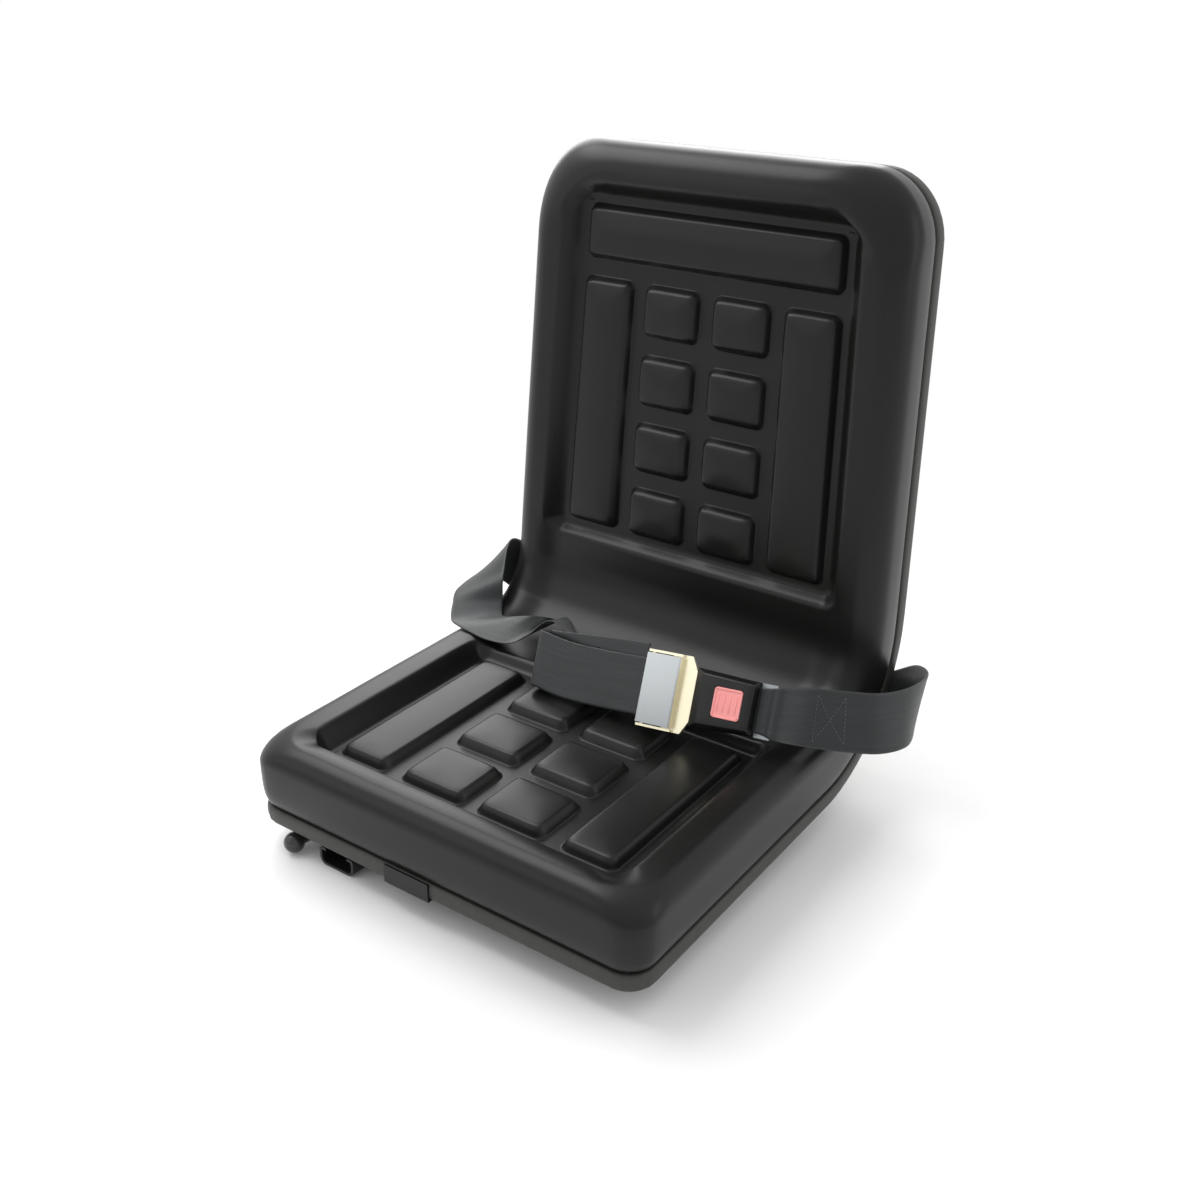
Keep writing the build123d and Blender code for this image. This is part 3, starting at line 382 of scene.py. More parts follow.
print("border points:", len(loop))

# %% [markdown]
# The section of the border, from the crest to the seam. The shoulder is tighter on the seat than on
# the back. The side bulges a little over the trim and turns in under itself at the seam.

# %% Cushion mesh
CREST_INSET, OVERHANG = 27.0, 2.5
SEAT_SHOULDER, BACK_SHOULDER = 19.0, 26.0
FRONT_CROWN, TOP_CROWN = 40.0, 84.0
FOAM_WOBBLE, WOBBLE_SIZE, WOBBLE_SEED = 0.35, 70.0, 3.1
SEAM_HEIGHT, SEAM_FADE = 16.0, 12.0
SIDE = ((-2.6, 45), (-2.5, 39.5), (-2.3, 34), (-1.9, 29), (-1.2, 24.6), (0, 20.8), (1.2, 18.4),
        (2.4, 16.8), (4.4, 15.9), (8, 15.7), (12, 15.7))
uneven = FOAM_WOBBLE * wobble(grid_u, grid_vv, WOBBLE_SIZE, WOBBLE_SEED)
mesh_points = [bent(grid_u, grid_vv, grid_h + uneven).reshape(-1, 3)]
faces = [
    (j * columns + i, j * columns + i + 1, (j + 1) * columns + i + 1, (j + 1) * columns + i)
    for j in range(rows - 1) for i in range(columns - 1)
]
levels = []
crest_u, crest_v = border_line(CREST_INSET, FRONT_CROWN, TOP_CROWN)
for t in np.linspace(0, 1, 19)[1:]:
    u = loop_u + (crest_u - loop_u) * t
    v = loop_v + (crest_v - loop_v) * t
    levels.append((u, v, cushion_height(u, v)))
shoulder = SEAT_SHOULDER + (BACK_SHOULDER - SEAT_SHOULDER) * back_share(loop_v)
for angle in np.radians(np.linspace(84, 0, 14)):
    share = sin(angle)
    u, v = border_line(
        shoulder * (1 - cos(angle)) - OVERHANG,
        FRONT_CORNER + OVERHANG + (FRONT_CROWN - FRONT_CORNER - OVERHANG) * share,
        TOP_CORNER + OVERHANG + (TOP_CROWN - TOP_CORNER - OVERHANG) * share,
    )
    levels.append((u, v, crest(v) - shoulder * (1 - sin(angle))))
for inset, height in SIDE:
    u, v = border_line(inset, FRONT_CORNER - inset, TOP_CORNER - inset)
    levels.append((u, v, np.full(len(u), float(height))))
previous = [j * columns + i for j, i in loop]
count = rows * columns
for u, v, h in levels:
    uneven = FOAM_WOBBLE * wobble(u, v, WOBBLE_SIZE, WOBBLE_SEED)
    uneven = uneven * smooth((h - SEAM_HEIGHT) / SEAM_FADE)
    mesh_points.append(bent(u, v, h + uneven))
    current = list(range(count, count + len(u)))
    for k in range(len(u)):
        n = (k + 1) % len(u)
        faces.append((previous[n], previous[k], current[k], current[n]))
    previous = current
    count += len(u)
front_row = previous[:columns]
right_row = previous[columns - 1:columns + rows - 1]
top_row = previous[columns + rows - 2:2 * columns + rows - 2]
left_row = [previous[0]] + [previous[-k] for k in range(1, rows - 1)] + [top_row[-1]]
faces.append(tuple(front_row[::-1]))
faces.append(tuple(top_row[::-1]))
for j in range(rows - 1):
    faces.append((right_row[j + 1], left_row[j + 1], left_row[j], right_row[j]))


def mesh_object(name, points, polygons, body=None):
    """A new piece from points and faces, with merged points and faces outward, on a body."""
    mesh = bpy.data.meshes.new(name)
    mesh.from_pydata([tuple(p) for p in points], [], polygons)
    build = bmesh.new()
    build.from_mesh(mesh)
    bmesh.ops.remove_doubles(build, verts=build.verts, dist=1e-6)
    bmesh.ops.recalc_face_normals(build, faces=build.faces)
    build.to_mesh(mesh)
    build.free()
    made = bpy.data.objects.new(name, mesh)
    bpy.context.scene.collection.objects.link(made)
    mesh.polygons.foreach_set("use_smooth", [True] * len(mesh.polygons))
    if body:
        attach(made, body)
    return made


cushion = mesh_object("cushion_skin", np.concatenate(mesh_points), faces, "seat")
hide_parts("cushion")
print("cushion faces:", len(cushion.data.polygons))

# %% [markdown]
# ### Black vinyl
# Moulded PVC skin over foam. It is near black and satin: broad soft highlights on the puffed
# borders, a fine leather grain that breaks them up, and slightly duller patches.

# %% Black vinyl
vinyl, tree, shader = new_material("moulded_black_vinyl")
place = node(tree, "ShaderNodeTexCoord").outputs["Object"]
grain = node(tree, "ShaderNodeTexVoronoi", Vector=place, Scale=1 / (1.3 * MM))
patch = node(tree, "ShaderNodeTexNoise", Vector=place, Scale=1 / (60 * MM), Detail=3.0)
shade = node(tree, "ShaderNodeMapRange", Value=patch.outputs["Fac"], To_Min=0.28, To_Max=0.38)
tone = node(
    tree, "ShaderNodeMix", {"data_type": "RGBA"},
    Factor=patch.outputs["Fac"], i6=srgb("121312"), i7=srgb("191A18"),
)
relief = node(
    tree, "ShaderNodeBump",
    Strength=0.15, Distance=0.12 * MM, Height=grain.outputs["Distance"],
)
tree.links.new(tone.outputs[2], shader.inputs["Base Color"])
tree.links.new(shade.outputs["Result"], shader.inputs["Roughness"])
tree.links.new(relief.outputs["Normal"], shader.inputs["Normal"])
shader.inputs["Specular IOR Level"].default_value = 0.27
dress(cushion, vinyl)
print("vinyl nodes:", len(tree.nodes))

# %% [markdown]
# ## The edge trim
# A black PVC strip is pushed over the rim of the sheet-metal pan and hides the edge of the skin.
# It is soft, so its section is carried round the same border lines, bulged a little, and it is
# drawn into small ripples where it has to turn the front corners.

# %% Edge trim
TRIM_SECTION = ((8, 15.1), (3, 15.2), (1.1, 14.9), (0.25, 13.8), (-0.15, 11.5), (-0.35, 8),
                (-0.15, 4), (0.3, 1.6), (1.3, 0.4), (3, 0), (9, 0), (9.9, 0.6), (9.9, 1.6),
                (9, 2.2), (5.5, 2.4))
RIPPLE, RIPPLE_RUN, RIPPLE_REACH = 0.22, 1.05, 28.0
RIPPLE_SPAN, RIPPLE_FADE, RIPPLE_FROM, RIPPLE_TO = 1.3, 0.5, -0.5, 2.07
trim_points, trim_faces = [], []
corner_u, corner_v = HALF - FRONT_CORNER, FRONT_CORNER
around = len(loop)
for k, (inset, height) in enumerate(TRIM_SECTION):
    u, v = border_line(inset, FRONT_CORNER - inset, TOP_CORNER - inset)
    turn = np.arctan2(corner_v - v, np.abs(u) - corner_u)
    off_corner = np.hypot(np.abs(u) - corner_u, v - corner_v) - FRONT_CORNER
    near = smooth((RIPPLE_REACH - np.abs(off_corner)) / RIPPLE_REACH)
    near = near * smooth((RIPPLE_SPAN - np.abs(turn - pi / 4)) / RIPPLE_FADE)
    near = near * (turn > RIPPLE_FROM) * (turn < RIPPLE_TO)
    outward = RIPPLE * near * np.sin(turn * FRONT_CORNER / RIPPLE_RUN + 1.5 * np.sin(3 * turn))
    outward = outward * (0 <= height < 15) * (inset < 1.2)
    forward = outward * np.sin(np.clip(turn, 0, pi / 2)) * near
    trim_points.append(bent(u * (1 + outward / HALF), v - forward, height))
    row, following = k * around, (k + 1) % len(TRIM_SECTION) * around
    for i in range(around):
        n = (i + 1) % around
        trim_faces.append((row + i, row + n, following + n, following + i))
trim = mesh_object("edge_trim_band", np.concatenate(trim_points), trim_faces, "seat")
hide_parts("edge_trim")
print("trim faces:", len(trim.data.polygons))

# %% [markdown]
# ### Black PVC
# Extruded soft PVC: a little greyer and duller than the skin, with a faint cloudiness from handling
# that keeps its long highlight from running as one clean line.

# %% Black PVC
pvc, tree, shader = new_material("extruded_black_pvc")
place = node(tree, "ShaderNodeTexCoord").outputs["Object"]
cloud = node(tree, "ShaderNodeTexNoise", Vector=place, Scale=1 / (9 * MM), Detail=4.0)
tone = node(
    tree, "ShaderNodeMix", {"data_type": "RGBA"},
    Factor=cloud.outputs["Fac"], i6=srgb("262724"), i7=srgb("343531"),
)
relief = node(tree, "ShaderNodeBump", Strength=0.2, Distance=0.2 * MM, Height=cloud.outputs["Fac"])
tree.links.new(tone.outputs[2], shader.inputs["Base Color"])
tree.links.new(relief.outputs["Normal"], shader.inputs["Normal"])
shader.inputs["Roughness"].default_value = 0.5
dress(trim, pvc)
print("PVC nodes:", len(tree.nodes))

# %% [markdown]
# ## Belt straps
# The lap belt is polyester webbing, 50 mm wide. One strap comes from the right anchor to the
# buckle, the other from the left anchor, folds over, runs to the bar in the tongue and comes back
# as a doubled tail. Each is a flat band drawn through stations: a middle, the direction of its
# width, and its width.

# %% Belt frame
BELT_ORIGIN = Vector((63.0, 44.4, 126.9))
BELT_TILT, BELT_CLIMB = radians(29.0), radians(6.5)
tilt_up = Vector((0, sin(BELT_TILT), cos(BELT_TILT)))
belt_along = Vector((1, 0, 0)) * cos(BELT_CLIMB) + tilt_up * sin(BELT_CLIMB)
belt_face = Vector((0, -cos(BELT_TILT), sin(BELT_TILT)))
belt_across = belt_face.cross(belt_along)
WEB, WEB_SHEET = 50.0, 1.4
BEND_Y, BEND_Z, BROW_Z = FRONT_Y + SEAT_RUN, TRIM_Z + BEND_R, TRIM_Z + 74.5


def belt_point(along, across, lift):
    """Point in millimetres from the belt's own frame."""
    return BELT_ORIGIN + belt_along * along + belt_across * across + belt_face * lift


def bend_point(x, angle, lift):
    """Point beside the bend, at an angle round it and a distance outside the trim."""
    reach = BEND_R + lift
    return Vector((x, BEND_Y + reach * sin(radians(angle)), BEND_Z - reach * cos(radians(angle))))


print("webbing:", WEB, "by", WEB_SHEET, "mm")

# %% [markdown]
# The real band is woven flat and never stretches. A smooth curve runs through the stations, and a
# thin rounded section with slightly thicker selvedges is carried along it, so that the band can
# twist and fold over itself as the photographed one does.

# %% Strap builder
def spline(values, t):
    """Smooth curve through values, one for each whole number of t."""
    i = min(int(t), len(values) - 2)
    f = t - i
    a, b, c, d = (values[min(max(k, 0), len(values) - 1)] for k in (i - 1, i, i + 1, i + 2))
    square, cube = 2 * a - 5 * b + 4 * c - d, 3 * b - a - 3 * c + d
    return 0.5 * (2 * b + (c - a) * f + square * f * f + cube * f ** 3)


half_across = (0.07, 0.2, 0.32, 0.42, 0.46, 0.485, 0.5)
half_thick = (1.0, 1.0, 1.0, 1.0, 1.1, 0.9, 0.35)
ACROSS = [-a for a in reversed(half_across)] + list(half_across)
THICK = list(reversed(half_thick)) + list(half_thick)


def strap_frames(stations, step=2.0):
    """Middles, width directions, widths and faces along a strap, about a step apart."""
    middles = [Vector(s[0]) for s in stations]
    widths = [Vector(s[1]).normalized() * s[2] for s in stations]
    times = [0.0]
    for i in range(len(middles) - 1):
        pieces = max(int((middles[i + 1] - middles[i]).length / step), 3)
        times += [i + (k + 1) / pieces for k in range(pieces)]
    centre = [spline(middles, t) for t in times]
    frames = []
    for i, t in enumerate(times):
        heading = (centre[min(i + 1, len(centre) - 1)] - centre[max(i - 1, 0)]).normalized()
        width = spline(widths, t)
        frames.append((centre[i], width, heading.cross(width).normalized()))
    return frames


def strap_mesh(frames):
    """Points and faces of a closed band of webbing."""
    points, polygons = [], []
    ring = 2 * len(ACROSS)
    for middle, width, face in frames:
        upper = [middle + width * a + face * (WEB_SHEET / 2 * k) for a, k in zip(ACROSS, THICK)]
        lower = [middle + width * a - face * (WEB_SHEET / 2 * k) for a, k in zip(ACROSS, THICK)]
        points += [p * MM for p in upper + lower[::-1]]
    for i in range(len(frames) - 1):
        for k in range(ring):
            n = (k + 1) % ring
            polygons.append((i * ring + k, i * ring + n, (i + 1) * ring + n, (i + 1) * ring + k))
    last = (len(frames) - 1) * ring
    polygons.append(tuple(range(ring)))
    polygons.append(tuple(last + k for k in reversed(range(ring))))
    return points, polygons


def strap_object(name, frames, body=None):
    """A piece of webbing with a map of millimetres across and along."""
    points, polygons = strap_mesh(frames)
    places, run = [], 0.0
    for i, (middle, width, _) in enumerate(frames):
        run += (middle - frames[i - 1][0]).length if i else 0.0
        places += [(a * width.length, run) for a in (*ACROSS, *ACROSS[::-1])]
    made = mesh_object(name, points, polygons, body)
    layer = made.data.uv_layers.new(name="weave")
    for corner in made.data.loops:
        layer.data[corner.index].uv = places[corner.vertex_index]
    return made


print("points round a strap:", 2 * len(ACROSS))

# %% [markdown]
# Both straps leave their anchor plates round the side of the bend. The right one loops forward to
# the buckle and is gathered where it passes through the slot of the buckle's base. The left one
# falls in a twist onto the seat, runs to the bar of the tongue and comes back as a loose tail.

# %% Strap stations
STRAP_ANGLE, STRAP_LIFT = 55.0, 1.7
strap_tangent = (0, cos(radians(STRAP_ANGLE)), sin(radians(STRAP_ANGLE)))
side_loop = [
    (bend_point(141.0, STRAP_ANGLE, STRAP_LIFT), strap_tangent, WEB),
    (bend_point(167.0, STRAP_ANGLE, STRAP_LIFT), strap_tangent, WEB),
    (bend_point(HALF - 9, 56.0, 8.6), strap_tangent, WEB),
    (bend_point(HALF + 19, 61.0, -6.0), (0, 0.52, 0.85), WEB),
]
OVER_BASE, GATHERED = -0.6, 37.0
buckle_stations = side_loop + [
    ((HALF + 43, BEND_Y + 78, BROW_Z + 11.5), (0, 0.47, 0.88), WEB),
    ((HALF + 51, BEND_Y + 36, BROW_Z + 19.5), (-0.2, 0.42, 0.88), WEB),
    ((HALF + 38.8, BEND_Y + 4.5, BROW_Z + 23.3), (-0.25, 0.42, 0.87), WEB),
    ((HALF + 13.5, BEND_Y - 16, BROW_Z + 26.5), (-0.22, 0.42, 0.88), WEB),
    ((HALF - 11, BEND_Y - 35, BROW_Z + 31), (-0.12, 0.45, 0.88), WEB - 1.5),
    (belt_point(109, 0, OVER_BASE + 0.8), belt_across, 0.5 * (WEB + GATHERED)),
    (belt_point(98, 0, OVER_BASE), belt_across, GATHERED + 2),
    (belt_point(89, 0, OVER_BASE), belt_across, GATHERED),
]
left_stations = [((-x, y, z), across, width) for (x, y, z), across, width in side_loop] + [
    ((-HALF - 29, BEND_Y + 74, BROW_Z + 28), (0.5, 0.2, 0.84), WEB),
    ((-HALF - 10, BEND_Y + 21, BROW_Z + 25), (0.84, 0.40, 0.36), WEB),
    ((-HALF - 1, BEND_Y + 4, BROW_Z + 10), (0.76, 0.65, 0.05), WEB),
    ((-HALF + 10, BEND_Y - 11, BROW_Z + 4), (0.75, 0.66, 0.05), WEB),
    ((-HALF + 22, BEND_Y - 18, BROW_Z + 6), (0.74, 0.66, 0.12), WEB),
    ((-HALF + 40, BEND_Y - 21, BROW_Z + 9), (0.68, 0.68, 0.26), WEB),
    ((-HALF + 58, BEND_Y - 20, BROW_Z + 10), (0.50, 0.80, 0.33), WEB),
    ((-HALF + 75, BEND_Y - 12, BROW_Z + 9), (0.20, 0.94, 0.22), WEB),
    ((-HALF + 84, BEND_Y - 1, BROW_Z + 10), (0.0, 1.0, -0.08), WEB),
    ((-HALF + 97, BEND_Y + 11, BROW_Z + 16), (-0.20, 0.88, -0.43), WEB),
    (belt_point(-92, 10, -30), (-0.1, 0.45, -0.88), WEB),
    (belt_point(-66, 10, -22), (0.0, 0.0, -1.0), WEB),
    (belt_point(-40, 9, -15.5), -belt_across, WEB),
]
BAR_ALONG, TURN, FRAME_END = -3.0, 3.96, -18.5
FOLD_ALONG, FOLD_R, FOLD_LIFT = -126.0, 7.5, -5.5
FOLD_ACROSS, FOLD_CLIMB = 5.3, 2.5
half_turn = np.linspace(0, pi, 9)
round_bar = [(BAR_ALONG + TURN * sin(a), 0, -TURN * cos(a)) for a in half_turn]
fold = [
    (FOLD_ALONG - FOLD_R * sin(a), FOLD_ACROSS + FOLD_CLIMB * a / pi, FOLD_LIFT + FOLD_R * cos(a))
    for a in half_turn
]
over_bar = [(FRAME_END, 0, TURN), (-64, -0.6, 3), (-97, 0.5, 2.5)]
tail = [(-96, 9.5, -10), (-62, 11.5, -7), (-38, 12.5, -5), (-20, 12.5, -1.2)]
in_tongue = [(FRAME_END, 0, -TURN)] + round_bar + over_bar + fold + tail
long_stations = left_stations + [(belt_point(*place), -belt_across, WEB) for place in in_tongue]
buckle_frames = strap_frames(buckle_stations)
buckle_strap = strap_object("buckle_strap", buckle_frames, "seat")
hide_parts("buckle_webbing")
tongue_strap = strap_object("tongue_strap", strap_frames(long_stations))
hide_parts("tongue_webbing")
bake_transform(tongue_strap)
print("strap faces:", len(buckle_strap.data.polygons), len(tongue_strap.data.polygons))

# %% [markdown]
# ### Polyester webbing
# Filament polyester in a twill weave. The long filaments give it a silky sheen along the band, near
# black from one side and steel grey from another, with streaks where some yarns lie differently.
# These streaks are also painted into the base colour as lighter bands: painted sheen.

# %% Polyester webbing
webbing, tree, shader = new_material("black_polyester_webbing")
place = node(tree, "ShaderNodeUVMap", {"uv_map": "weave"}).outputs["UV"]
twill = node(
    tree, "ShaderNodeTexWave", {"bands_direction": "DIAGONAL"},
    Vector=place, Scale=0.22, Distortion=0.6, Detail=1.0,
)
streak = node(tree, "ShaderNodeMapping", Vector=place, Scale=(0.35, 0.02, 1.0))
sheen_streaks = node(tree, "ShaderNodeTexNoise", Vector=streak.outputs["Vector"], Scale=1.0, Detail=3.0)
# The lighter streaks in this base colour are painted sheen; the same streaks also lower the
# roughness.
tone = node(
    tree, "ShaderNodeMix", {"data_type": "RGBA"},
    Factor=sheen_streaks.outputs["Fac"], i6=srgb("0E1011"), i7=srgb("25292B"),
)
gloss = node(tree, "ShaderNodeMapRange", Value=sheen_streaks.outputs["Fac"], To_Min=0.44, To_Max=0.28)
warp = node(tree, "ShaderNodeTangent", {"direction_type": "UV_MAP", "uv_map": "weave"})
relief = node(tree, "ShaderNodeBump", Strength=0.3, Distance=0.2 * MM, Height=twill.outputs["Fac"])
tree.links.new(tone.outputs[2], shader.inputs["Base Color"])
tree.links.new(gloss.outputs["Result"], shader.inputs["Roughness"])
tree.links.new(relief.outputs["Normal"], shader.inputs["Normal"])
tree.links.new(warp.outputs["Tangent"], shader.inputs["Tangent"])
shader.inputs["Anisotropic"].default_value = 0.8
shader.inputs["Anisotropic Rotation"].default_value = 0.25
shader.inputs["Sheen Weight"].default_value = 0.1
for strap in (buckle_strap, tongue_strap):
    dress(strap, webbing)
print("webbing nodes:", len(tree.nodes))

# %% [markdown]
# ## Finishes of the hard pieces
# The pieces below keep their CAD solids. Rails and pan are painted steel, the fasteners and the
# belt fittings are zinc plated, clear or passivated yellow, and the covers are moulded plastic.
# None of them is quite even, so each gets soft patches of more and less gloss.


# %% Finishes
def plain_finish(name, colour, roughness, metallic=0.0, spread=0.06, size=12.0, specular=0.5):
    """A finish from its colour and roughness, uneven by a spread over patches of a size in mm."""
    material, tree, shader = new_material(name)
    place = node(tree, "ShaderNodeTexCoord").outputs["Object"]
    patch = node(tree, "ShaderNodeTexNoise", Vector=place, Scale=1 / (size * MM), Detail=4.0)
    shade = node(
        tree, "ShaderNodeMapRange",
        Value=patch.outputs["Fac"], To_Min=roughness - spread, To_Max=roughness + spread,
    )
    tree.links.new(shade.outputs["Result"], shader.inputs["Roughness"])
    shader.inputs["Base Color"].default_value = srgb(colour)
    shader.inputs["Metallic"].default_value = metallic
    shader.inputs["Specular IOR Level"].default_value = specular
    return material


finishes = {
    # Sprayed semi-gloss paint: soft highlights along the folded edges of rails and pan.
    "black_painted_steel": plain_finish("black_painted_steel", "151515", 0.4),
    # Clear zinc: a dull silver that takes the tone of the room.
    "zinc_plated_steel": plain_finish("zinc_plated_steel", "9A9EA0", 0.42, 1.0, 0.03, 25.0),
    # Yellow passivated zinc, with gold at the edges. Its colour is lifted to near white and its
    # metal share lowered, a painted highlight that keeps the plates bright where they mirror the
    # dark cushion.
    "yellow_zinc_with_painted_highlight": plain_finish(
        "yellow_zinc_with_painted_highlight", "F4ECCF", 0.27, 0.6, 0.015, 30.0
    ),
    # Drawn spring steel: darker and sharper in its highlights than the plating.
    "bare_spring_steel": plain_finish("bare_spring_steel", "8C8E90", 0.3, 1.0),
    # Injection moulded nylon: black, with a fine spark erosion that dulls the face.
    "moulded_black_plastic": plain_finish("moulded_black_plastic", "0E0F0F", 0.36, specular=0.35),
    # Moulded plastic cap of the tongue: a smooth, even light grey.
    "satin_grey_plastic": plain_finish("satin_grey_plastic", "C2C7C9", 0.34, spread=0.02),
    # Moulded plastic of the key: a clear pinkish red, sun bleached.
    "red_button_plastic": plain_finish("red_button_plastic", "F49B99", 0.35),
    # Moulded phenolic ball: black and glossy, with one small bright spot. Its colour is lifted to a
    # dark grey, a painted highlight that stands in for part of its gloss.
    "phenolic_resin_with_painted_highlight": plain_finish("phenolic_resin_with_painted_highlight", "2E2F2D", 0.24),
}
worn_by = {
    "black_painted_steel": ("lower_rail_left", "lower_rail_right", "upper_rail_left",
                            "upper_rail_right", "release_lever", "seat_pan"),
    "zinc_plated_steel": ("rail_bolts", "rail_nuts", "lever_pin", "buckle_base", "anchor_bolts",
                          "anchor_nuts", "adjuster_bar"),
    "yellow_zinc_with_painted_highlight": ("tongue_plate", "anchor_plate_left", "anchor_plate_right"),
    "bare_spring_steel": ("lever_spring", "button_spring", "latch_plate", "rail_rollers"),
    "moulded_black_plastic": ("buckle_back", "rail_glides", "trim_clip"),
    "phenolic_resin_with_painted_highlight": ("lever_knob",),
}
for name, nodes in worn_by.items():
    for piece in nodes:
        dress(bpy.data.objects[piece], finishes[name])
print("finishes:", len(finishes), "on", sum(len(nodes) for nodes in worn_by.values()), "CAD nodes")

# %% [markdown]
# ## Belt fittings
# Tongue, buckle body and button are modelled from cubes in the belt's own frame: along the belt,
# across it, and out of its face. The finished mesh is then carried to its place on the seat.

# %% Modelling helpers
belt_matrix = Matrix((belt_along, belt_across, belt_face)).transposed().to_4x4()
belt_matrix.translation = BELT_ORIGIN * MM


def start_block(name, size, middle):
    """A cube of a size about a middle, both in millimetres, left in edit mode."""
    bpy.ops.object.select_all(action="DESELECT")
    bpy.ops.mesh.primitive_cube_add(size=1)
    made = bpy.context.object
    made.name = name
    bpy.ops.object.mode_set(mode="EDIT")
    bpy.ops.mesh.select_all(action="SELECT")
    bpy.ops.transform.resize(value=[s * MM for s in size])
    bpy.ops.transform.translate(value=[m * MM for m in middle])
    return made


def pick(obj, kind, test):
    """Selects the faces or edges that pass a test, in edit mode."""
    bpy.ops.mesh.select_mode(type=kind)
    bpy.ops.mesh.select_all(action="DESELECT")
    build = bmesh.from_edit_mesh(obj.data)
    build.normal_update()
    for element in build.faces if kind == "FACE" else build.edges:
        element.select_set(bool(test(element)))
    build.select_flush_mode()
    bmesh.update_edit_mesh(obj.data)


def middle_of(element):
    """Middle of a face or an edge, in millimetres."""
    return sum((v.co for v in element.verts), Vector()) / len(element.verts) / MM


def direction_of(edge):
    """Direction of an edge."""
    return (edge.verts[1].co - edge.verts[0].co).normalized()


def push(vector):
    """Extrudes the selected faces by a vector in millimetres."""
    bpy.ops.mesh.extrude_region_move(TRANSFORM_OT_translate={"value": [x * MM for x in vector]})


def finish_block(obj, body, cad_node, slot_name, *materials):
    """Closes edit mode, carries the piece to the belt and puts it on its body."""
    bpy.ops.mesh.select_all(action="SELECT")
    bpy.ops.mesh.normals_make_consistent(inside=False)
    bpy.ops.object.mode_set(mode="OBJECT")
    bpy.ops.object.shade_smooth_by_angle(angle=radians(35))
    obj.data.transform(belt_matrix)
    obj.data.materials.clear()
    for material in materials:
        obj.data.materials.append(material)
    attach(obj, body)
    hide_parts(cad_node)
    print(obj.name, "faces:", len(obj.data.polygons))


print("belt frame at", [round(x, 1) for x in BELT_ORIGIN], "mm")

# %% [markdown]
# ### Tongue case
# A short cap over the frame that holds the strap's bar. It is moulded in grey plastic, and the end
# that faces the buckle shows the frame's yellow zinc. The end towards the strap is open. A cube is
# bevelled and hollowed, because the real cap is an even wall all round.

# %% Tongue case
CASE_LENGTH, CASE_WIDTH, CASE_FRONT, CASE_REAR, CASE_WALL = 33.0, 60.0, 8.5, 8.0, 1.2
CASE_ROUND, CASE_BREAK = 1.8, 0.5
case_depth = CASE_FRONT + CASE_REAR
case = start_block(
    "tongue_case", (CASE_LENGTH, CASE_WIDTH, case_depth), (0, 0, CASE_FRONT - case_depth / 2)
)
pick(case, "EDGE", lambda e: abs(direction_of(e).y) > 0.9)
bpy.ops.mesh.bevel(offset=CASE_ROUND * MM, segments=4, affect="EDGES")
pick(case, "FACE", lambda f: f.normal.x < -0.99)
bpy.ops.mesh.inset(thickness=CASE_WALL * MM)
push((CASE_LENGTH - 3 * CASE_WALL, 0, 0))
pick(
    case, "EDGE",
    lambda e: abs(abs(middle_of(e).y) - CASE_WIDTH / 2) < 0.1 and abs(direction_of(e).y) < 0.1,
)
bpy.ops.mesh.bevel(offset=CASE_BREAK * MM, segments=2, affect="EDGES")
pick(case, "FACE", lambda f: f.normal.x > 0.85)
case_end = [f.index for f in bmesh.from_edit_mesh(case.data).faces if f.select]
finish_block(
    case, "belt_tongue", "tongue_cover", "cover_plastic",
    finishes["satin_grey_plastic"], finishes["yellow_zinc_with_painted_highlight"],
)
for index in case_end:
    case.data.polygons[index].material_index = 1

# %% [markdown]
# ### Buckle body
# The front shell of the buckle: drawn in towards the strap, sloped at the mouth where the tongue
# goes in, soft on every edge, with a sunk window for the button.

# %% Buckle body
MOUTH, BUCKLE_END, MOUTH_HALF, TAIL_HALF, BUCKLE_FRONT = 31.0, 88.0, 25.0, 22.5, 9.5
BUTTON_ALONG, BUTTON, BUTTON_GAP, MOUTH_SLOPE = 66.0, 25.4, 0.35, 8.5
PARTING, FACE_SHARE, WINDOW_DEEP, SHELL_ROUND, SIDE_RISE = 0.15, 0.85, 8.2, 1.3, 0.35
shell = start_block(
    "buckle_shell",
    (BUCKLE_END - MOUTH, 2 * MOUTH_HALF, BUCKLE_FRONT - PARTING),
    ((MOUTH + BUCKLE_END) / 2, 0, (BUCKLE_FRONT + PARTING) / 2),
)
pick(shell, "FACE", lambda f: f.normal.x > 0.99)
bpy.ops.transform.resize(value=(1, TAIL_HALF / MOUTH_HALF, 1))
bpy.ops.mesh.select_all(action="SELECT")
bpy.ops.mesh.bisect(plane_co=(0, 0, SIDE_RISE * BUCKLE_FRONT * MM), plane_no=(0, 0, 1))
pick(shell, "FACE", lambda f: f.normal.z > 0.99)
bpy.ops.transform.resize(value=(0.97, FACE_SHARE, 1))
pick(
    shell, "EDGE",
    lambda e: abs(direction_of(e).y) > 0.9 and middle_of(e).x < 40 and middle_of(e).z > 9,
)
bpy.ops.transform.translate(value=(MOUTH_SLOPE * MM, 0, 0))
pick(shell, "EDGE", lambda e: middle_of(e).z > 0.5)
bpy.ops.mesh.bevel(offset=SHELL_ROUND * MM, segments=3, affect="EDGES")
half_window = BUTTON / 2 + BUTTON_GAP
for axis, value in (
    ((1, 0, 0), BUTTON_ALONG - half_window),
    ((1, 0, 0), BUTTON_ALONG + half_window),
    ((0, 1, 0), -half_window),
    ((0, 1, 0), half_window),
):
    pick(shell, "FACE", lambda f: f.normal.z > 0.995 and middle_of(f).z > 9)
    bpy.ops.mesh.bisect(plane_co=[x * value * MM for x in axis], plane_no=axis)
pick(
    shell, "FACE",
    lambda f: f.normal.z > 0.995
    and abs(middle_of(f).x - BUTTON_ALONG) < 2 and abs(middle_of(f).y) < 2,
)
push((0, 0, -WINDOW_DEEP))
finish_block(shell, "seat", "buckle_cover", "buckle_plastic", finishes["moulded_black_plastic"])

# %% [markdown]
# ### Push button
# A square key with rounded corners, a dished face and a few plain ridges for the thumb.

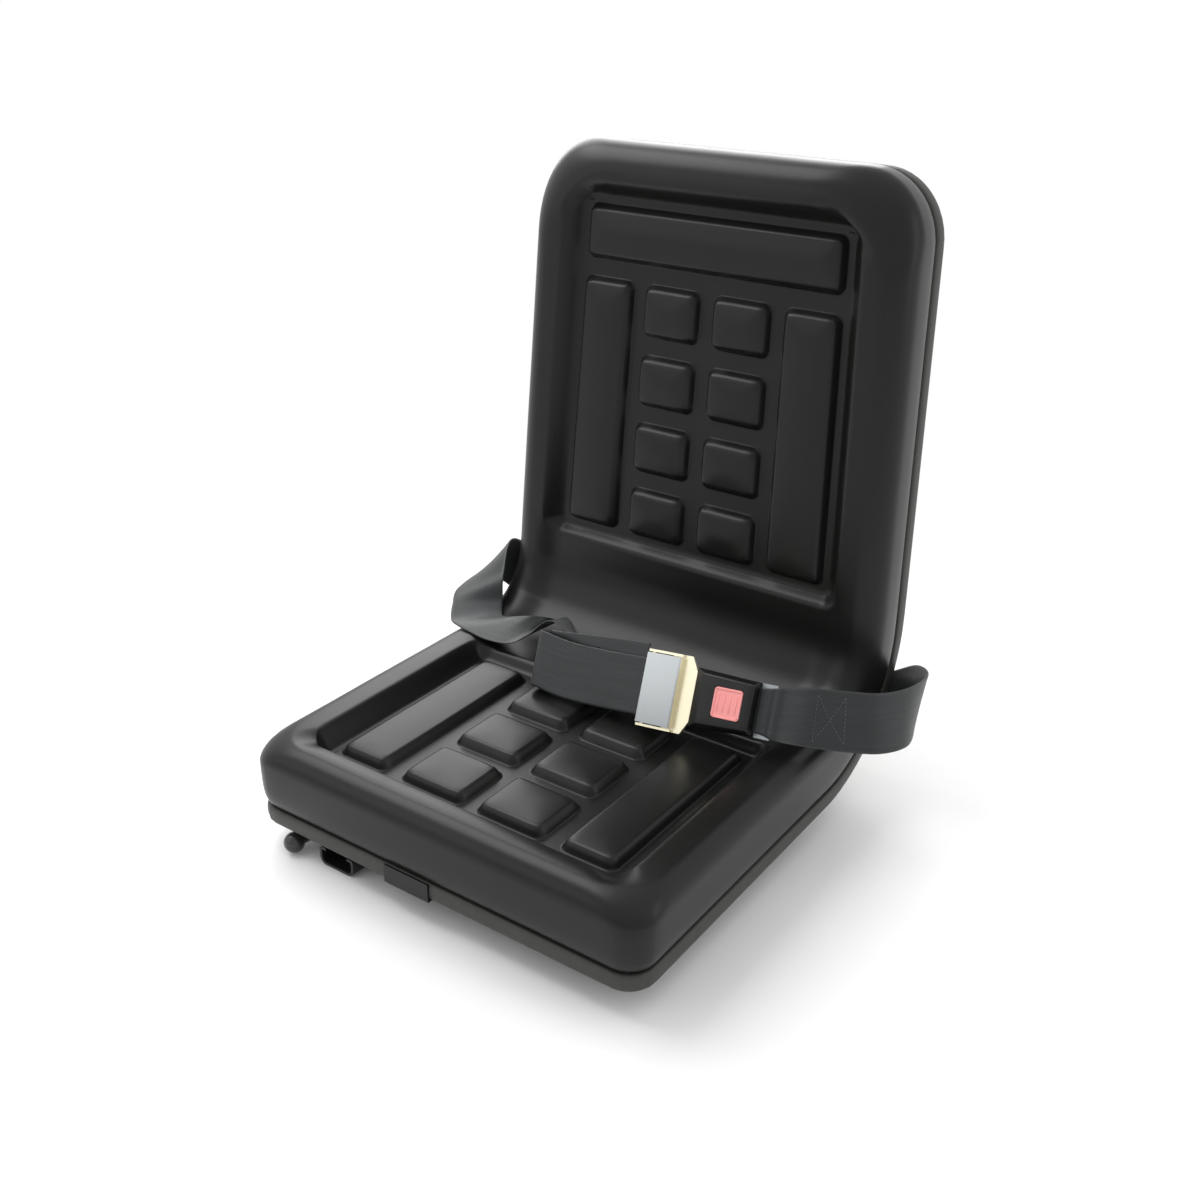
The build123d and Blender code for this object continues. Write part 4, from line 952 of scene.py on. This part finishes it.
# %% Push button
BUTTON_TOP, BUTTON_DEEP, RIDGES = 10.3, 5.6, 4
RIDGE_SIZE, DISH, RIM = (1.4, 15.0, 0.8), 0.5, 2.0
KEY_CORNER, KEY_BREAK, RIDGE_BREAK = 2.6, 0.35, 0.3
key = start_block(
    "push_button", (BUTTON, BUTTON, BUTTON_DEEP), (BUTTON_ALONG, 0, BUTTON_TOP - BUTTON_DEEP / 2)
)
pick(key, "EDGE", lambda e: abs(direction_of(e).z) > 0.9)
bpy.ops.mesh.bevel(offset=KEY_CORNER * MM, segments=4, affect="EDGES")
pick(key, "FACE", lambda f: f.normal.z > 0.99)
bpy.ops.mesh.inset(thickness=RIM * MM)
push((0, 0, -DISH))
pick(
    key, "EDGE",
    lambda e: abs(middle_of(e).z - BUTTON_TOP) < 0.01 and abs(direction_of(e).z) < 0.1,
)
bpy.ops.mesh.bevel(offset=KEY_BREAK * MM, segments=2, affect="EDGES")
ridge_pitch = (BUTTON - 9.0) / (RIDGES - 1)
for i in range(RIDGES):
    bpy.ops.mesh.primitive_cube_add(size=1)
    bpy.ops.transform.resize(value=[s * MM for s in RIDGE_SIZE])
    ridge_along = BUTTON_ALONG + (i - (RIDGES - 1) / 2) * ridge_pitch
    bpy.ops.transform.translate(value=(ridge_along * MM, 0, (BUTTON_TOP - DISH) * MM))
    bpy.ops.mesh.bevel(offset=RIDGE_BREAK * MM, segments=2, affect="EDGES")
finish_block(
    key, "buckle_button", "buckle_button", "button_plastic", finishes["red_button_plastic"]
)

# %% [markdown]
# ## Stitching
# The buckle's strap is sewn back on itself with two rows across and a cross between them. One
# stitch is a small rounded bar of thread, copied along each row.

# %% Stitching
STITCH, STITCH_PITCH, THREAD, ON_FACE = 2.4, 3.1, 0.42, -0.75
SEW_START, SEW_RUN, SEW_HALF = 56.0, 25.0, 19.5
bpy.ops.mesh.primitive_uv_sphere_add(segments=8, ring_count=6, radius=0.5)
thread = bpy.context.object
stitch_points = np.array([v.co for v in thread.data.vertices])
stitch_faces = [tuple(f.vertices) for f in thread.data.polygons]
bpy.data.objects.remove(thread)
buckle_end_first = buckle_frames[::-1]


def strap_place(run, across, lift):
    """Point on the buckle's strap, from a run measured from the buckle's end."""
    left = run
    for near, far in zip(buckle_end_first, buckle_end_first[1:]):
        step = (far[0] - near[0]).length
        if left <= step:
            break
        left -= step
    middle = near[0].lerp(far[0], left / step)
    width = near[1].lerp(far[1], left / step).normalized()
    face = near[2].lerp(far[2], left / step).normalized()
    return middle + width * across + face * lift


sew_points, sew_faces = [], []
SEW_END = SEW_START + SEW_RUN
corners = [
    (SEW_START, -SEW_HALF), (SEW_START, SEW_HALF), (SEW_END, SEW_HALF), (SEW_END, -SEW_HALF),
]
for a, b in ((0, 1), (2, 3), (0, 2), (1, 3)):
    (run_a, across_a), (run_b, across_b) = corners[a], corners[b]
    stitches = int(hypot(run_b - run_a, across_b - across_a) / STITCH_PITCH)
    for i in range(stitches):
        shares = (i / stitches, (i + STITCH / STITCH_PITCH) / stitches)
        first, last = (
            (run_a + (run_b - run_a) * t, across_a + (across_b - across_a) * t) for t in shares
        )
        start, end = strap_place(*first, ON_FACE), strap_place(*last, ON_FACE)
        out = (strap_place(*first, ON_FACE - 1) - start).normalized()
        line = (end - start).normalized()
        sideways = out.cross(line)
        thread_frame = Matrix((line * STITCH, sideways * 2 * THREAD, out * 2 * THREAD)).transposed()
        centre = (start + end) / 2
        sew_points += [(centre + thread_frame @ Vector(p)) * MM for p in stitch_points]
        shift = len(sew_points) - len(stitch_points)
        sew_faces += [tuple(shift + k for k in polygon) for polygon in stitch_faces]
sewing = mesh_object("strap_stitching", sew_points, sew_faces, "seat")
dress(sewing, plain_finish("black_sewing_thread", "4A4C4D", 0.6))
print("stitch faces:", len(sewing.data.polygons))

# %% [markdown]
# ## Floor and light
# A white studio: the floor fades into a white surround, the light is soft and comes from above and
# from the back, so that level faces carry the pale reflection and upright ones stay dark.

# %% Floor
FLOOR_SIDE, FLOOR_DROP, SHADOW_REACH, WHITE_FROM = 8.0, 0.0005, 0.3, 0.75
bpy.ops.mesh.primitive_plane_add(size=FLOOR_SIDE, location=(0, 0, -FLOOR_DROP))
floor = bpy.context.object
floor.name = "floor"
paper, tree, shader = new_material("white_paper")
shader.inputs["Base Color"].default_value = srgb("F6F6F6")
shader.inputs["Roughness"].default_value = 0.9
place = node(tree, "ShaderNodeTexCoord").outputs["Object"]
reach = node(tree, "ShaderNodeVectorMath", {"operation": "LENGTH"}, i0=place)
fade = node(
    tree, "ShaderNodeMapRange",
    Value=reach.outputs["Value"], From_Min=SHADOW_REACH, From_Max=WHITE_FROM,
)
glow = node(tree, "ShaderNodeEmission", Color=(1, 1, 1, 1), Strength=1.0)
ray = node(tree, "ShaderNodeLightPath").outputs
mirrored = node(
    tree, "ShaderNodeMath", {"operation": "MAXIMUM"},
    i0=ray["Is Glossy Ray"], i1=ray["Is Transmission Ray"],
)
seen = node(
    tree, "ShaderNodeMath", {"operation": "MAXIMUM"},
    i0=mirrored.outputs[0], i1=ray["Is Camera Ray"],
)
seen_far = node(
    tree, "ShaderNodeMath", {"operation": "MULTIPLY"},
    i0=seen.outputs[0], i1=fade.outputs["Result"],
)
mixed = node(
    tree, "ShaderNodeMixShader",
    i0=seen_far.outputs[0], i1=shader.outputs["BSDF"], i2=glow.outputs["Emission"],
)
tree.links.new(mixed.outputs["Shader"], tree.nodes["Material Output"].inputs["Surface"])
dress(floor, paper)
print("floor:", [round(x, 1) for x in floor.dimensions])

# %% [markdown]
# The room is white behind the seat and a little dimmer in front of it, where a photographer stands.
# Upright faces that look forward then stay darker than the level ones.

# %% Room
world = bpy.data.worlds.new("studio")
bpy.context.scene.world = world
world.use_nodes = True
tree = world.node_tree
BACKDROP = Vector((-0.30, 0.85, 0.43)).normalized()
heading = node(tree, "ShaderNodeTexCoord").outputs["Generated"]
facing = node(tree, "ShaderNodeVectorMath", {"operation": "DOT_PRODUCT"}, i0=heading, i1=BACKDROP)
room = node(
    tree, "ShaderNodeMapRange",
    Value=facing.outputs["Value"], From_Min=-0.5, From_Max=0.5, To_Min=0.7, To_Max=1.0,
)
tree.nodes["Background"].inputs["Color"].default_value = (1, 1, 1, 1)
tree.links.new(room.outputs["Result"], tree.nodes["Background"].inputs["Strength"])
print("room nodes:", len(tree.nodes))

# %% [markdown]
# Four soft boxes: the main light stands behind on the left, one hangs above, and two weak ones fill
# the front and the right side.


# %% Lamps
def softbox(name, place, aim, size, power):
    """Area lamp at a place, turned to a point, with its size in metres."""
    lamp = bpy.data.lights.new(name, "AREA")
    lamp.shape = "RECTANGLE"
    lamp.size, lamp.size_y = size
    lamp.energy = power
    made = bpy.data.objects.new(name, lamp)
    bpy.context.scene.collection.objects.link(made)
    heading = Vector(aim) - Vector(place)
    turn = heading.to_track_quat("-Z", "Y").to_matrix().to_4x4()
    made.matrix_world = Matrix.Translation(place) @ turn


softbox("back_left", (-0.9, 1.25, 1.05), (0, 0, 0.15), (1.4, 1.1), 15)
softbox("upper_left", (-0.9, -0.1, 1.6), (0, 0, 0.25), (1.1, 1.1), 16)
softbox("front_left", (-1.1, -1.5, 1.0), (0, 0, 0.3), (1.2, 1.0), 3)
softbox("right", (1.7, 0.4, 0.9), (0, 0, 0.3), (0.5, 1.2), 2.5)
bpy.context.scene.view_settings.view_transform = "Standard"
print("lamps:", len(bpy.data.lights))
